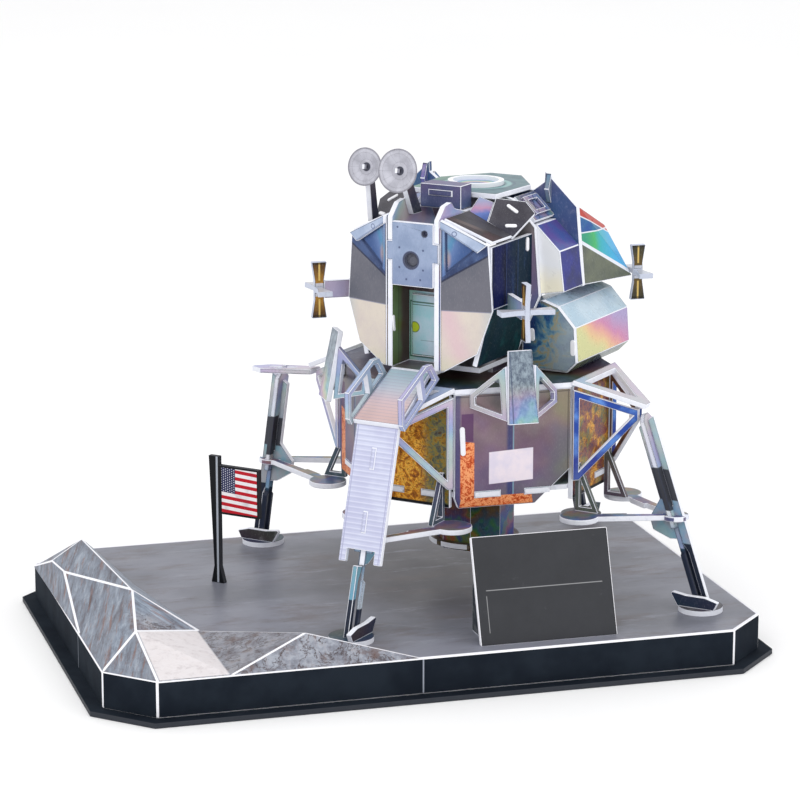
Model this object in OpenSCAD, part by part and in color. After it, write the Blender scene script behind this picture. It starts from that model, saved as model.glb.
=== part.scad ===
// Slotted foam-board model of a lunar lander on its display base.
// Frame: millimetres, origin under the base on the lander's upright axis,
// +X right along the base's front edge, +Y towards the back, +Z up.
// The hatch and ladder face the corner between -X and -Y.

/* [Boards] */
// thickness of every foam board
board = 2; // [1.5:0.1:3]
// clearance between a tab and its slot, each side
slot_gap = 0.1; // [0.05:0.05:0.3]
// how far a tab's end stands proud of the board it passes through
tab_proud = 0.4; // [0.2:0.1:1]

/* [Base] */
// left wall's outer face, measured left of the lander's axis
base_left = 167; // [140:190]
// right wall's outer face, measured right of the lander's axis
base_right = 90; // [84:110]
// front wall's outer face, measured in front of the lander's axis
base_front = 98; // [90:115]
// back wall's outer face, measured behind the lander's axis
base_back = 81; // [80:110]
// deck's top above the table
deck_top = 16; // [12:24]
// how far the bottom board runs out past the walls
base_lip = 5; // [2:10]
// cut across each corner of the base
base_corner = 17; // [10:24]

/* [Lander] */
// half the spacing between footpads, along and across the base
foot_half = 70; // [62:76]
// footpad disc radius
pad_r = 8.6; // [7:11]
// width of a leg's strut boards
strut_w = 8; // [6:10]
// lean of the leg struts from upright, degrees
leg_lean = 19; // [12:22]
// radius of the nozzle's mouth under the descent stage
nozzle_r = 16; // [12:18]
// ladder width
ladder_w = 18; // [14:20]
// radius of the larger dish antenna
dish_r = 8.4; // [6:10]

/* [Plaque and flag] */
// plaque width
plaque_w = 54; // [40:60]
// plaque height along its face
plaque_h = 41; // [30:48]
// plaque's lean back from upright, degrees
plaque_lean = 20; // [10:30]
// flagpole height above the deck
pole_h = 52; // [40:60]

/* [Hidden] */
$fn = 48;
// every lander dimension below is stated for 70 mm foot spacing and scaled by k
k = foot_half / 70;
foot_r = foot_half * sqrt(2);
eps = 0.01;
fit = 0.1;               // hairline between boards that only meet
st_low = 42 * k;         // underside of the descent stage above the deck
st_top = 88.7 * k;       // top of the descent stage above the deck
st_d = 49 * k;           // axis to the face of a quadrant panel
st_h = 23.4 * k;         // half width of a quadrant panel
st_c = (st_d + st_h) / sqrt(2);  // axis to the face of a leg-side panel
st_w = (st_d - st_h) / sqrt(2);  // half width of a leg-side panel
tip_x = 72.5 * k;        // outrigger tip from the axis
tip_z = 78 * k;          // outrigger tip above the deck
hub_z = 35 * k;          // lower brace boards above the deck
front_u = 51 * k;        // cabin front face from the axis
pad_t = board;

// ---------- helpers ----------

function unit(a) = a / norm(a);

// a board whose outer face has these corners, anticlockwise seen from outside
module plate(p, th = board) {
  o = p[0];
  ex = unit(p[1] - p[0]);
  n = unit(cross(p[1] - p[0], p[2] - p[0]));
  ey = cross(n, ex);
  multmatrix([[ex[0], ey[0], n[0], o[0]], [ex[1], ey[1], n[1], o[1]], [ex[2], ey[2], n[2], o[2]], [0, 0, 0, 1]])
    translate([0, 0, -th]) linear_extrude(th) polygon([for (q = p) [(q - o) * ex, (q - o) * ey]]);
}

// a board standing on the plane y = y0 with an outline in x and z, centred on the plane
module upright(outline, y0 = 0, th = board) {
  translate([0, y0 + th / 2, 0]) rotate([90, 0, 0]) linear_extrude(th) polygon(outline);
}

// a board facing along x with its front at x0 and an outline in y and z
module facing(outline, x0, th = board) {
  translate([x0 - th, 0, 0]) rotate([90, 0, 90]) linear_extrude(th) polygon(outline);
}

// the same thing on both sides of the lander's middle plane
module both() {
  children();
  mirror([0, 1, 0]) children();
}

// lander frame: x out of the hatch, y to the right of someone facing the hatch, z above the deck
module lander() translate([0, 0, deck_top]) rotate([0, 0, 225]) children();

// four copies along the base's axes
module quad() for (a = [0 : 90 : 270]) rotate([0, 0, a]) children();

// a corner-cut rectangle for the base boards
function base_outline(i) = let (l = base_left - i, r = base_right - i, f = base_front - i, b = base_back - i,
  c = base_corner - i * 0.59) [
  [-l, -f + c], [-l + c, -f], [r - c, -f], [r, -f + c], [r, b - c], [r - c, b], [-l + c, b], [-l, b - c]];

// ---------- display base ----------

module base_floor() {
  color([0.05, 0.05, 0.06]) linear_extrude(board) polygon(base_outline(-base_lip));
}

module base_walls() {
  color([0.06, 0.06, 0.07]) difference() {
    translate([0, 0, board]) linear_extrude(deck_top - board) polygon(base_outline(0));
    translate([0, 0, 0]) linear_extrude(deck_top + 1) polygon(base_outline(board));
    // the walls stop under the rim of the deck
    translate([0, 0, deck_top - board]) linear_extrude(board + 1) polygon(base_outline(board / 2));
  }
}

module base_deck() {
  color([0.55, 0.56, 0.6]) translate([0, 0, deck_top - board]) linear_extrude(board)
    polygon(base_outline(board / 2 + fit));
}

// one solid block of folded ground: corners on the deck, raised corners and top faces
module ridge(pts, faces) {
  color([0.6, 0.58, 0.57]) translate([0, 0, deck_top]) polyhedron(pts, faces);
}

module rock_left() {
  l = base_left - 0.4;
  f = base_front - 0.4;
  c = base_corner;
  pts = [
    [-l, -f + c, 0], [-l + c, -f, 0], [-l + 44, -f, 0], [-l + 44, -42, 0], [-l + 33, 23, 0],
    [-l + 27, base_back - 2, 0], [-l + c, base_back - 2, 0], [-l, base_back - c - 2, 0],
    [-l, -33, 0],
    [-149.6, -58, 7], [-144.8, -28, 14], [-150.3, 47, 14], [-163.2, 45, 6.4], [-161.8, 24, 7.6]];
  ridge(pts, [
    [0, 1, 2, 3, 4, 5, 6, 7, 8],
    [0, 9, 1], [1, 9, 2], [2, 9, 3], [3, 9, 10], [3, 10, 4], [4, 10, 11], [4, 11, 5], [5, 11, 6],
    [6, 11, 7], [7, 11, 12], [7, 12, 8], [8, 12, 13], [12, 11, 13], [13, 11, 10], [8, 13, 10], [8, 10, 0],
    [0, 10, 9]]);
}

module rock_front() {
  f = base_front - 0.4;
  x0 = -base_left + 44.4;
  pts = [[x0, -f, 0], [-50, -f, 0], [x0, -42, 0], [-91, -83, 9]];
  ridge(pts, [[0, 1, 2], [0, 3, 1], [1, 3, 2], [2, 3, 0]]);
}

// ---------- plaque and flag ----------

plaque_x = -25.5;
plaque_y = -91;

module plaque() {
  color([0.2, 0.2, 0.21]) difference() {
    translate([plaque_x, plaque_y, deck_top]) rotate([-plaque_lean, 0, 0]) translate([0, 0, -board])
      cube([plaque_w, board, plaque_h + board]);
    // the foot is cut level with the deck
    translate([plaque_x - 5, plaque_y - 20, 0]) cube([plaque_w + 10, 40, deck_top]);
  }
}

module plaque_prop() {
  d = plaque_h * sin(plaque_lean);
  h = plaque_h * cos(plaque_lean);
  q = board / cos(plaque_lean);
  for (x = [plaque_x + 3, plaque_x + plaque_w - 3 - board])
    color([0.16, 0.16, 0.17]) translate([x, plaque_y, deck_top]) rotate([90, 0, 90]) linear_extrude(board)
      polygon([[q + fit, 0], [q + fit + (d - 3 * tan(plaque_lean)), h - 3], [21, h * 0.45], [21, 0]]);
}

module flag() {
  h = pole_h;
  color([0.85, 0.85, 0.88]) translate([-100.5, 18.3, deck_top]) rotate([0, 0, -45])
    upright([[-3, 0], [3, 0], [1.2, 7], [1.2, h - 23.4], [19.5, h - 23.4], [19.5, h - 3.5], [1.2, h - 3.5],
      [1.2, h], [-3.6, h], [-1.6, 7]]);
}

// ---------- descent stage ----------

// outline of a quadrant panel: y across, z up; one lower corner is cut away
function quad_outline() = [[-st_h + 1.6, st_low], [9 * k, st_low], [st_h - fit, st_low + 13 * k],
  [st_h - fit, st_top - board - fit], [-st_h + fit, st_top - board - fit], [-st_h + fit, st_low + 4 * k]];

tab_w = 10 * k;
floor_z = 46 * k;

module stage_slots(d) for (y = [-10, 10]) translate([d - board - 1, y * k - tab_w / 2 - slot_gap, floor_z - slot_gap])
  cube([board + 3, tab_w + 2 * slot_gap, board + 2 * slot_gap]);

module stage_floor() {
  i = board + fit;
  color([0.75, 0.76, 0.78]) translate([0, 0, deck_top]) {
    difference() {
      translate([0, 0, floor_z]) linear_extrude(board) polygon([
        for (a = [0 : 90 : 270]) each [for (s = [-1, 1]) let (x = st_d - i, y = s * (st_h - i * 0.42))
          [x * cos(a) - y * sin(a), x * sin(a) + y * cos(a)]]]);
      translate([0, 0, floor_z - 1]) cylinder(r = 9 * k, h = 5);
    }
    quad() for (y = [-10, 10]) translate([st_d - i - 1, y * k - tab_w / 2, floor_z])
      cube([i + 1 + tab_proud, tab_w, board]);
    rotate([0, 0, 45]) quad() for (y = [-8, 8]) translate([st_c - i - 1, y * k - 4 * k, floor_z])
      cube([i + 1 + tab_proud, 8 * k, board]);
  }
}

module stage_top() {
  color([0.3, 0.3, 0.34]) translate([0, 0, deck_top + st_top - board]) linear_extrude(board) polygon([
    for (a = [0 : 90 : 270]) each [for (s = [-1, 1]) let (x = st_d, y = s * st_h)
      [x * cos(a) - y * sin(a), x * sin(a) + y * cos(a)]]]);
}

module stage_quads() {
  color([0.5, 0.42, 0.45]) translate([0, 0, deck_top]) quad() difference() {
    facing(quad_outline(), st_d);
    stage_slots(st_d);
  }
}

module stage_bays() {
  w = st_w - board * 0.42 - 1.2;
  color([0.8, 0.5, 0.15]) translate([0, 0, deck_top]) rotate([0, 0, 45]) quad() difference() {
    facing([[-w, st_low], [w, st_low], [w, st_top - board - fit], [-w, st_top - board - fit]], st_c);
    for (y = [-8, 8]) translate([st_c - board - 1, y * k - 4 * k - slot_gap, floor_z - slot_gap])
      cube([board + 3, 8 * k + 2 * slot_gap, board + 2 * slot_gap]);
  }
}

module nozzle() {
  top = floor_z - fit;
  low = 14 * k;
  color([0.5, 0.6, 0.5]) translate([0, 0, deck_top]) rotate([0, 0, 22.5]) difference() {
    translate([0, 0, low]) cylinder(r = nozzle_r, h = top - low, $fn = 8);
    translate([0, 0, low - 1]) cylinder(r = nozzle_r - board * 1.08, h = top - low - board + 1, $fn = 8);
  }
}

module nozzle_ring() {
  color([0.25, 0.2, 0.18]) translate([0, 0, deck_top + 15.5 * k]) difference() {
    cylinder(r = nozzle_r + 2, h = board);
    translate([0, 0, -1]) rotate([0, 0, 22.5]) cylinder(r = nozzle_r + fit, h = board + 2, $fn = 8);
  }
}

// ---------- legs ----------

// the four leg directions: 225 carries the ladder
module legs(which = [45, 135, 225, 315]) for (a = which) translate([0, 0, deck_top]) rotate([0, 0, a]) children();

out_a = atan2(st_w, tip_x - st_c);

// upright triangle frame from a stage corner out to the leg's head
module outrigger_side() {
  len = norm([tip_x - st_c, st_w]);
  zt = st_top - board - 0.6;
  translate([st_c, st_w, 0]) rotate([0, 0, -out_a]) difference() {
    upright([[0.7, zt - 0.3], [0.7, 50 * k], [3, 50 * k], [len - 1.6, tip_z - 5.2], [len - 1.6, tip_z - 1.2]]);
    upright([[3.1, zt - 3.7], [3.1, 53.6 * k], [len - 3.4, tip_z - 3.4]], 0, board * 3);
  }
}

module outriggers() {
  color([0.3, 0.45, 0.8]) legs() difference() {
    union() {
      outrigger_side();
      mirror([0, 1, 0]) outrigger_side();
      translate([tip_x - 4.6, -1.5, tip_z - 5.6]) cube([3.4, 3, 4.4]);
    }
    // clear of the stage panels
    translate([0, 0, -5]) linear_extrude(st_top + 10) polygon([[0, -60], [0, 60], [st_d * cos(45) + st_h * sin(45) + 0.3 - 60, 60],
      [st_c + fit, st_w + 1], [st_c + fit, -st_w - 1], [st_c - 60, -60]]);
  }
}

// flat triangle frame lying on the two upright ones
module outrigger_tops() {
  rise = (st_top - tip_z) / (tip_x - st_c);
  color([0.7, 0.72, 0.85]) legs() difference() {
    plate([[st_c + 1, -st_w - 0.6, st_top + 1], [tip_x + 3, 0 - 2.2, tip_z + board + 0.4 - 3 * rise + 0.4],
      [tip_x + 3, 2.2, tip_z + board + 0.4 - 3 * rise + 0.4], [st_c + 1, st_w + 0.6, st_top + 1]]);
    translate([0, 0, st_top - 30]) linear_extrude(60) polygon([[st_c + 3.6, -st_w + 4.9], [tip_x - 2.2, 0],
      [st_c + 3.6, st_w - 4.9]]);
  }
}

// flat board that carries the head of the left leg further out
module left_wing() {
  color([0.75, 0.7, 0.85]) legs([135])
    difference() {
      plate([[tip_x + 0.6, -4, tip_z - 1], [97 * k, -4.5, tip_z - 2.8], [103 * k, -1, tip_z - 3.2],
        [103 * k, 1, tip_z - 3.2], [97 * k, 4.5, tip_z - 2.8], [tip_x + 0.6, 4, tip_z - 1]]);
      // slots for the two strut boards
      strut_frame(left_lean) {
        translate([-6, -board / 2 - slot_gap, 50]) cube([12, board + 2 * slot_gap, 40]);
        translate([-board / 2 - slot_gap, -strut_w / 2 - slot_gap, 50])
          cube([board + 2 * slot_gap, strut_w + 2 * slot_gap, 40]);
      }
    }
}

// a leg's own frame: foot at the origin, z up along the strut
module strut_frame(lean) translate([foot_r, 0, pad_t]) rotate([0, -lean, 0]) children();

ladder_a = 16;           // the ladder's slope from upright, the same as the strut behind it
ladder_len = 47 * k;
ladder_u = 78.6 * k;     // top of the ladder
ladder_z = 78.6 * k;

// direction, lean from upright, length of each leg's strut
front_lean = ladder_a;
left_lean = 8;
struts = [[45, leg_lean, 76 * k], [135, left_lean, 71.4 * k], [225, front_lean, 76 * k], [315, leg_lean, 76 * k]];

// the strut board seen from the side, with a foot that holds the brace boards
module radial_board(lean, len) {
  w = strut_w / 2;
  z = (hub_z - pad_t) / cos(lean);
  strut_frame(lean) upright([[2, -6], [w + 0.2, -6], [w, len], [-w + 0.4, len - 3], [-w + 0.4, z + 9], [-w - 6, z + 3],
    [-w - 6, z - 2], [-w, z - 7], [0, z - 8], [2, z - 14]]);
}

// everything under a leg's foot is cut off level with the pad
module above_pads() difference() {
  union() children();
  translate([0, 0, deck_top + pad_t + fit - 50]) cube([400, 400, 100], center = true);
}

// the space from the ladder's back face outward, kept clear by the front leg
module ladder_room() lander() translate([ladder_u, 0, ladder_z]) rotate([0, -ladder_a, 0])
  translate([-board - fit, -15, -ladder_len - 6]) cube([20, 30, ladder_len + 8]);

module leg_radial() {
  color([0.8, 0.78, 0.8]) difference() {
    above_pads() for (s = struts) legs([s[0]]) radial_board(s[1], s[2]);
    // room for the other strut board, from the brace up
    for (s = struts) legs([s[0]]) strut_frame(s[1]) translate([-board / 2 - slot_gap, -5, (hub_z - pad_t) / cos(s[1]) + 5.4])
      cube([board + 2 * slot_gap, 10, 90]);
    ladder_room();
  }
}

module cross_board(lean, len) {
  w = strut_w / 2;
  z = (hub_z - pad_t) / cos(lean);
  strut_frame(lean) rotate([0, 0, 90]) upright([[-2.6, -6], [2.6, -6], [2.6, z - 14], [1.5, z - 13], [1.5, z - 3], [w, z - 3],
    [w, len], [1.4, len + 2.5], [-1.4, len + 2.5], [-w, len], [-w, z - 3], [-1.5, z - 3], [-1.5, z - 13], [-2.6, z - 14]]);
}

module leg_cross() {
  color([0.25, 0.3, 0.4]) difference() {
    above_pads() for (s = struts) legs([s[0]]) cross_board(s[1], s[2] - 1);
    // halved over the radial board
    for (s = struts) legs([s[0]]) strut_frame(s[1]) translate([-5, -board / 2 - slot_gap, -9])
      cube([10, board + 2 * slot_gap, (hub_z - pad_t) / cos(s[1]) + 14.5]);
    ladder_room();
  }
}

module pads() {
  color([0.85, 0.86, 0.9]) legs() translate([foot_r, 0, 0]) cylinder(r = pad_r, h = pad_t);
}

// a shallow dish outline stands on each pad, beside the strut on the side seen from the base's front
module pad_dishes() {
  color([0.05, 0.08, 0.14]) for (a = [[45, -1], [135, 1], [225, 1], [315, -1]]) legs([a[0]]) translate([foot_r, 0, pad_t])
    upright([[-7.6, 0], [7.6, 0], [9.2, 3.2], [4, 4.6], [-4, 4.6], [-9.8, 5.4], [-10.4, 4.6]], 4 * a[1]);
}

// flat V of brace boards from the strut to two round ends under the stage
module brace(hub_x) {
  ex = 56 * k;
  ey = 20 * k;
  translate([0, 0, hub_z]) linear_extrude(board) {
    translate([hub_x, 0]) circle(r = 5.2);
    for (s = [-1, 1]) {
      translate([ex, s * ey]) circle(r = 7.5 * k);
      polygon([[hub_x - 1, s * 0.4], [hub_x - 1, s * 3.2], [ex + 2, s * (ey + 2)], [ex - 1, s * (ey - 2)]]);
      a = atan2(ey, ex - hub_x);
      translate([ex, s * ey]) rotate(s * (a - 180)) translate([9, -2.4]) square([10, 4.8]);
    }
  }
}

module leg_braces() {
  color([0.35, 0.38, 0.45]) difference() {
    for (s = struts) legs([s[0]]) brace(foot_r - (hub_z - pad_t) * tan(s[1]));
    // slots round the two strut boards
    for (s = struts) legs([s[0]]) strut_frame(s[1]) {
      translate([-14, -board / 2 - slot_gap, 0]) cube([24, board + 2 * slot_gap, 60]);
      translate([-board / 2 - slot_gap, -strut_w / 2 - slot_gap, 0])
        cube([board + 2 * slot_gap, strut_w + 2 * slot_gap, 60]);
    }
    ladder_room();
  }
}

// triangles that stand on the round ends and lean on the stage's corners
module leg_brackets() {
  color([0.2, 0.2, 0.25]) legs() both() difference() {
    upright([[st_c + fit, hub_z + board], [st_c + 10 * k, hub_z + board], [st_c + fit + 1.5, st_low + 14 * k],
      [st_c + fit, st_low + 14 * k]], 13.1 * k);
    upright([[st_c + 2, hub_z + board + 1.8], [st_c + 7.2 * k, hub_z + board + 1.8], [st_c + 2, st_low + 8.4 * k]], 13.1 * k, 9);
  }
}

// ---------- porch and ladder ----------

porch_top = [53.4 * k, 8.5 * k, 94.8 * k];
porch_low = [80 * k, 10 * k, 80.2 * k];

module porch() {
  t = porch_top;
  l = porch_low;
  color([0.9, 0.82, 0.82]) lander()
    plate([[t[0], -t[1], t[2]], [l[0], -l[1], l[2]], [l[0], l[1], l[2]], [t[0], t[1], t[2]]]);
}

module ladder() {
  w = ladder_w / 2;
  len = ladder_len;
  color([0.86, 0.86, 0.93]) lander() translate([ladder_u, 0, ladder_z]) rotate([0, -ladder_a, 0]) {
    facing([[-w, -len], [-w, 0], [w, 0], [w, -len], [w, -len - 5], [w - 3, -len - 5], [w - 3, -len], [-w + 3, -len],
      [-w + 3, -len - 5], [-w, -len - 5]], 0);
    for (z = [12.5, 36.5]) translate([-eps, -0.8, -z * k - 4]) cube([tab_proud + eps, 1.6, 8]);
  }
}

// side frames of the porch
module handrails() {
  color([0.9, 0.9, 0.95]) lander() both() translate([0, 11.4 * k, 0]) difference() {
    upright([[52.6, 92.4] * k, [58.6, 99.6] * k, [63, 99.6] * k, [82, 90.6] * k, [81.6, 80.4] * k, [79.6, 77.8] * k]);
    upright([[55.8, 92.8], [59.8, 97.6], [62.8, 97.6], [65.6, 96.3], [63.4, 88.7]] * k, 0, 9);
    upright([[66, 87.3], [68.2, 95], [80, 89.4], [79.8, 81.2], [78.9, 80.3]] * k, 0, 9);
  }
}

// ---------- plume deflectors ----------

module deflector_side() {
  difference() {
    plate([[59.6, 5.6, 77.6] * k, [49.8, 17.6, 81.6] * k, [49.4, 17.6, 86.6] * k, [56.4, 5, 98.5] * k]);
    translate([0.8, 0.6, 0.1])
      plate([[57.8, 7.4, 80.1] * k, [50.94, 15.8, 82.9] * k, [50.43, 15.8, 85.8] * k, [55.4, 7.4, 93.8] * k], 9);
  }
}

module deflector_frames() {
  color([0.75, 0.78, 0.85]) translate([0, 0, deck_top]) for (a = [180, 270]) rotate([0, 0, a]) difference() {
    both() deflector_side();
    translate([0, -50, 0]) cube([st_d + fit, 100, 200]);
  }
}

module deflector_plates() {
  color([0.45, 0.55, 0.6]) translate([0, 0, deck_top]) for (a = [180, 270]) rotate([0, 0, a])
    plate([[62.4, -6, 77] * k, [62.4, 6, 77] * k, [57, 4.6, 104.4] * k, [57, -4.6, 104.4] * k]);
}

// ---------- ascent stage ----------

rib_in = 9 * k;          // inner face of each rib
cheek_turn = 15;         // each cheek is turned back by this angle
rib_out = rib_in + board; // outer face of each rib from the middle plane
// corner of a cheek: its distance from the middle plane and its height set the rest
function cheek_pt(y, z) = [front_u - (y * k - rib_out - 0.2) * tan(cheek_turn), y * k, z * k];
cheek_y = (rib_out + board * sin(cheek_turn) + fit) / k;  // clear of the rib
a1 = cheek_pt(cheek_y, 153.5);
a2 = cheek_pt(29.4, 144.4);
a3 = cheek_pt(31.2, 119.3);
a4 = cheek_pt(25.6, 102.5);
a5 = cheek_pt(13, 95);
a6 = cheek_pt(cheek_y, 95);
wall_y = 29.8 * k;       // outer face of the cabin's side walls
b1 = [29 * k, 12.2 * k, 153.1 * k];
b2 = [28 * k, 30.2 * k, 144.2 * k];
mid_u = 10 * k;
aft_u = -9 * k;
floor_top = 95 * k;
roof_z = 159 * k;

module cabin_floor() {
  color([0.15, 0.15, 0.17]) lander() {
    translate([-30 * k, -22 * k, floor_top - board]) cube([68 * k, 44 * k, board]);
    translate([36 * k, -9 * k + fit, floor_top - board]) cube([front_u - 36 * k + 1, 18 * k - 2 * fit, board]);
    for (x = [-18, 12]) for (y = [-16, 16]) translate([x * k - 6, y * k - board / 2, st_top])
      cube([12, board, floor_top - board - st_top + eps]);
  }
}

module cabin_panel() {
  color([0.68, 0.72, 0.82]) lander() difference() {
    facing([[-rib_in + fit, 127 * k], [rib_in - fit, 127 * k], [rib_in - fit, 136.5 * k], [rib_out, 136.5 * k], [rib_out, 144 * k],
      [rib_in - fit, 144 * k], [rib_in - fit, 151.5 * k], [-rib_in + fit, 151.5 * k], [-rib_in + fit, 144 * k], [-rib_out, 144 * k],
      [-rib_out, 136.5 * k], [-rib_in + fit, 136.5 * k]], front_u + 0.6);
    translate([front_u - 0.6, -0.6 * k, 137 * k]) rotate([0, 90, 0]) cylinder(r = 2.8 * k, h = 5);
    translate([front_u - 0.6, 5.2 * k, 147.6 * k]) rotate([0, 90, 0]) cylinder(r = 1.1 * k, h = 5);
  }
}

module rib_outline() {
  n = front_u + 0.6 - board - slot_gap;  // bottom of the notch for the front panel's ears
  polygon([[front_u, 95 * k], [front_u, 136.5 * k - slot_gap], [n, 136.5 * k - slot_gap],
    [n, 144 * k + slot_gap], [front_u, 144 * k + slot_gap], [front_u, 153 * k], [46 * k, 157.8 * k],
    [41 * k, 158.6 * k], [38 * k, 155.8 * k], [29.4 * k, 153.6 * k], [20.4 * k, 153.6 * k], [12 * k, 140 * k], [12 * k, 95 * k]]);
}

module cabin_ribs() {
  color([0.8, 0.8, 0.88]) lander() both() translate([0, rib_out, 0]) rotate([90, 0, 0])
    linear_extrude(board) rib_outline();
}

module hatch() {
  color([0.7, 0.76, 0.74]) lander() {
    facing([[-9 * k + fit, floor_top], [9 * k - fit, floor_top], [9 * k - fit, 127 * k], [-9 * k + fit, 127 * k]], 38 * k);
    translate([38 * k - eps, -6.8 * k, floor_top + 2.4 * k]) cube([1.4, 13.6 * k, 24 * k]);
    // soffit over the doorway
    translate([36 * k - board, -9 * k + fit, 127 * k - eps]) cube([front_u - 38 * k + board, 18 * k - 2 * fit, board]);
  }
}

module cheek() difference() {
  plate([a6, a5, a4, a3, a2, a1]);
  // triangular window recess
  translate(0.05 * [cos(cheek_turn), sin(cheek_turn), 0])
    plate([cheek_pt(13.6, 149.4), cheek_pt(13.9, 133.4), cheek_pt(24.6, 142.6)], 0.85);
}

module cabin_cheeks() {
  color([0.4, 0.41, 0.47]) lander() both() cheek();
}

module cabin_brows() {
  t = 1.4;
  o = [cos(cheek_turn), sin(cheek_turn), 0] * (t + fit);
  color([0.7, 0.78, 0.85]) lander() both()
    plate([o + cheek_pt(11.6, 150.4), o + cheek_pt(25.6, 141.6), o + cheek_pt(29.2, 144.6), o + cheek_pt(11.6, 153.4)], t);
}

module cabin_sides() {
  f = cheek_pt(wall_y / k, 100)[0] - board * 1.1;  // front edge, just behind the cheek
  g = cheek_pt(24, 100)[0] - board * 1.1;
  y = wall_y;
  m = mid_u + fit;
  color([0.1, 0.15, 0.3]) lander() both() {
    // upper side wall
    plate([[f, y, a3[2]], [m, y, a3[2]], [m, y, 143.4 * k], [f, y, 143.4 * k]]);
    // lower side wall, leaning in
    plate([[g, 24.4 * k, 97 * k], [m, 24.4 * k, 97 * k], [m, y, a3[2] + 0.6], [f, y, a3[2] + 0.6]]);
  }
}

// top boards between the ribs and the side walls, ending behind the cheeks
module cabin_shoulders() {
  back = board / cos(cheek_turn) + fit;
  color([0.25, 0.2, 0.22]) lander() both()
    plate([b1 + [0, 0, 0.7], [cheek_pt(12.2, 0)[0] - back, b1[1], b1[2] + 0.7], [cheek_pt(30.2, 0)[0] - back, b2[1], b2[2] + 1.3],
      b2 + [0, 0, 1.3]], board * 0.7);
}

c1 = [20.4, 12.2, 157.9] * k;
c2 = [20.4, 18.8, 157.9] * k;
c3 = [28.8, 20, 149.8] * k;

module cabin_facets() {
  color([0.45, 0.45, 0.65]) lander() both() {
    // upper facet, between the ribs' back ends and the roof
    plate([c1, [28.6 * k, 12.2 * k, 153.3 * k], c3 + [-0.2, -0.1, 0], c2], board * 0.8);
    // lower facet, from the roof's corner out to the mid cross board
    plate([c2 + [-0.4, 0.3, -0.1], c3 + [-0.4, 0.1, 0], b2 + [-0.5, 0, 0.5], [10.4, 30.2, 146.2] * k, [10.4, 26.4, 151.6] * k], board * 0.8);
  }
}

// sloping boards over the side bays, each with a raised square frame
module mid_shoulders() {
  p = [[7.8, 20.9, 156.6], [7.8, 30, 148], [-8.8, 30, 148], [-8.8, 20.9, 156.6]] * k;
  color([0.45, 0.55, 0.6]) lander() both() {
    plate(p, board * 0.8);
    translate([0, 0.9, 1]) difference() {
      plate([p[0] + [-2.4, 1.4, -1.3], p[1] + [-2.4, -1.4, 1.3], p[2] + [2.4, -1.4, 1.3], p[3] + [2.4, 1.4, -1.3]], 1.2);
      translate([0, 1, 1]) plate([p[0] + [-4.6, 2.8, -2.6], p[1] + [-4.6, -2.8, 2.6], p[2] + [4.6, -2.8, 2.6], p[3] + [4.6, 2.8, -2.6]], 6);
    }
  }
}

module roof() {
  color([0.2, 0.5, 0.5]) lander() translate([0, 0, roof_z - board]) linear_extrude(board)
    polygon([[19, -18.6] * k, [19, 18.6] * k, [-8, 20] * k, [-26, 7] * k, [-26, -7] * k, [-8, -20] * k]);
}

module roof_ring() {
  color([0.95, 0.95, 0.96]) lander() translate([0, 0, roof_z]) difference() {
    cylinder(r = 11 * k, h = 1.6);
    translate([0, 0, -1]) cylinder(r = 9 * k, h = 4);
  }
}

module roof_box() {
  color([0.12, 0.13, 0.2]) lander() {
    translate([20.4 * k, -8.8 * k, 153.6 * k]) difference() {
      cube([8.8 * k, 17.6 * k, 9.2 * k]);
      translate([board, board, -1]) cube([8.8 * k - 2 * board, 17.6 * k - 2 * board, 8.2 * k]);
    }
    translate([29.2 * k - eps, -5 * k, 158.6 * k]) cube([tab_proud, 10 * k, board]);
  }
}

// cross board amidships; its outline is given for the right half
module bulkhead(half, x0) facing(concat(half, [for (i = [len(half) - 1 : -1 : 0]) [-half[i][0], half[i][1]]]), x0);

module bulkhead_mid() {
  b = floor_top + fit;
  color([0.3, 0.32, 0.4]) lander() difference() {
    bulkhead([[18, b / k], [22.6, b / k], [33, 119], [30.8, 145.6], [21, 156], [18, 156.6]] * k, mid_u);
    translate([0, -14 * k, 84 * k]) cube([20, 28 * k, 62 * k]);
  }
}

module bulkhead_aft() {
  b = floor_top + fit;
  color([0.3, 0.32, 0.4]) lander() difference() {
    bulkhead([[18, b / k], [22.6, b / k], [24, 118.6], [42.4, 120.6], [40.6, 139], [39.4, 151.6], [25.6, 164.6], [25.4, 160.4], [20.6, 156.8], [18, 156.8]] * k, aft_u);
    translate([aft_u - 8, -14 * k, 84 * k]) cube([20, 28 * k, 62 * k]);
  }
}

// closed box between the two cross boards, one each side
module side_bay() {
  u0 = mid_u - board - fit;
  u1 = aft_u + fit;
  difference() {
    translate([u1, 0, 0]) rotate([90, 0, 90]) linear_extrude(u0 - u1)
      polygon([[30.2, 119] * k, [42.6, 121.2] * k, [40.6, 137] * k, [30.6, 146.4] * k, [28, 146.4] * k, [28, 119] * k]);
    translate([u1 + board, 0, 0]) rotate([90, 0, 90]) linear_extrude(u0 - u1 - 2 * board)
      polygon([[26, 121.4] * k, [40.2, 123.4] * k, [38.4, 136] * k, [30, 143.8] * k, [26, 143.8] * k]);
  }
}

module side_bays() {
  color([0.3, 0.3, 0.6]) lander() both() side_bay();
}

tank_section = [[24.4, 89.4], [44, 89.4], [48.6, 94], [47.6, 107.6], [40.4, 115.4], [34.2, 117.4], [24.4, 115]];

module tank_box() {
  u0 = mid_u - board - fit;
  len = 34;
  for (h = [0]) difference() {
    translate([u0 - 2 * 24 * k, 0, 0]) rotate([90, 0, 90]) linear_extrude(2 * 24 * k) polygon(tank_section * k);
    translate([u0 - 2 * 24 * k + board, 0, 0]) rotate([90, 0, 90]) linear_extrude(2 * 24 * k - 2 * board)
      polygon([[26.4, 91.4], [43.2, 91.4], [46.5, 95], [45.6, 106.8], [39.4, 113.3], [34, 115.2], [26.4, 113.4]] * k);
  }
}

module tank_boxes() {
  color([0.75, 0.72, 0.5]) lander() both() tank_box();
}

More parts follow.
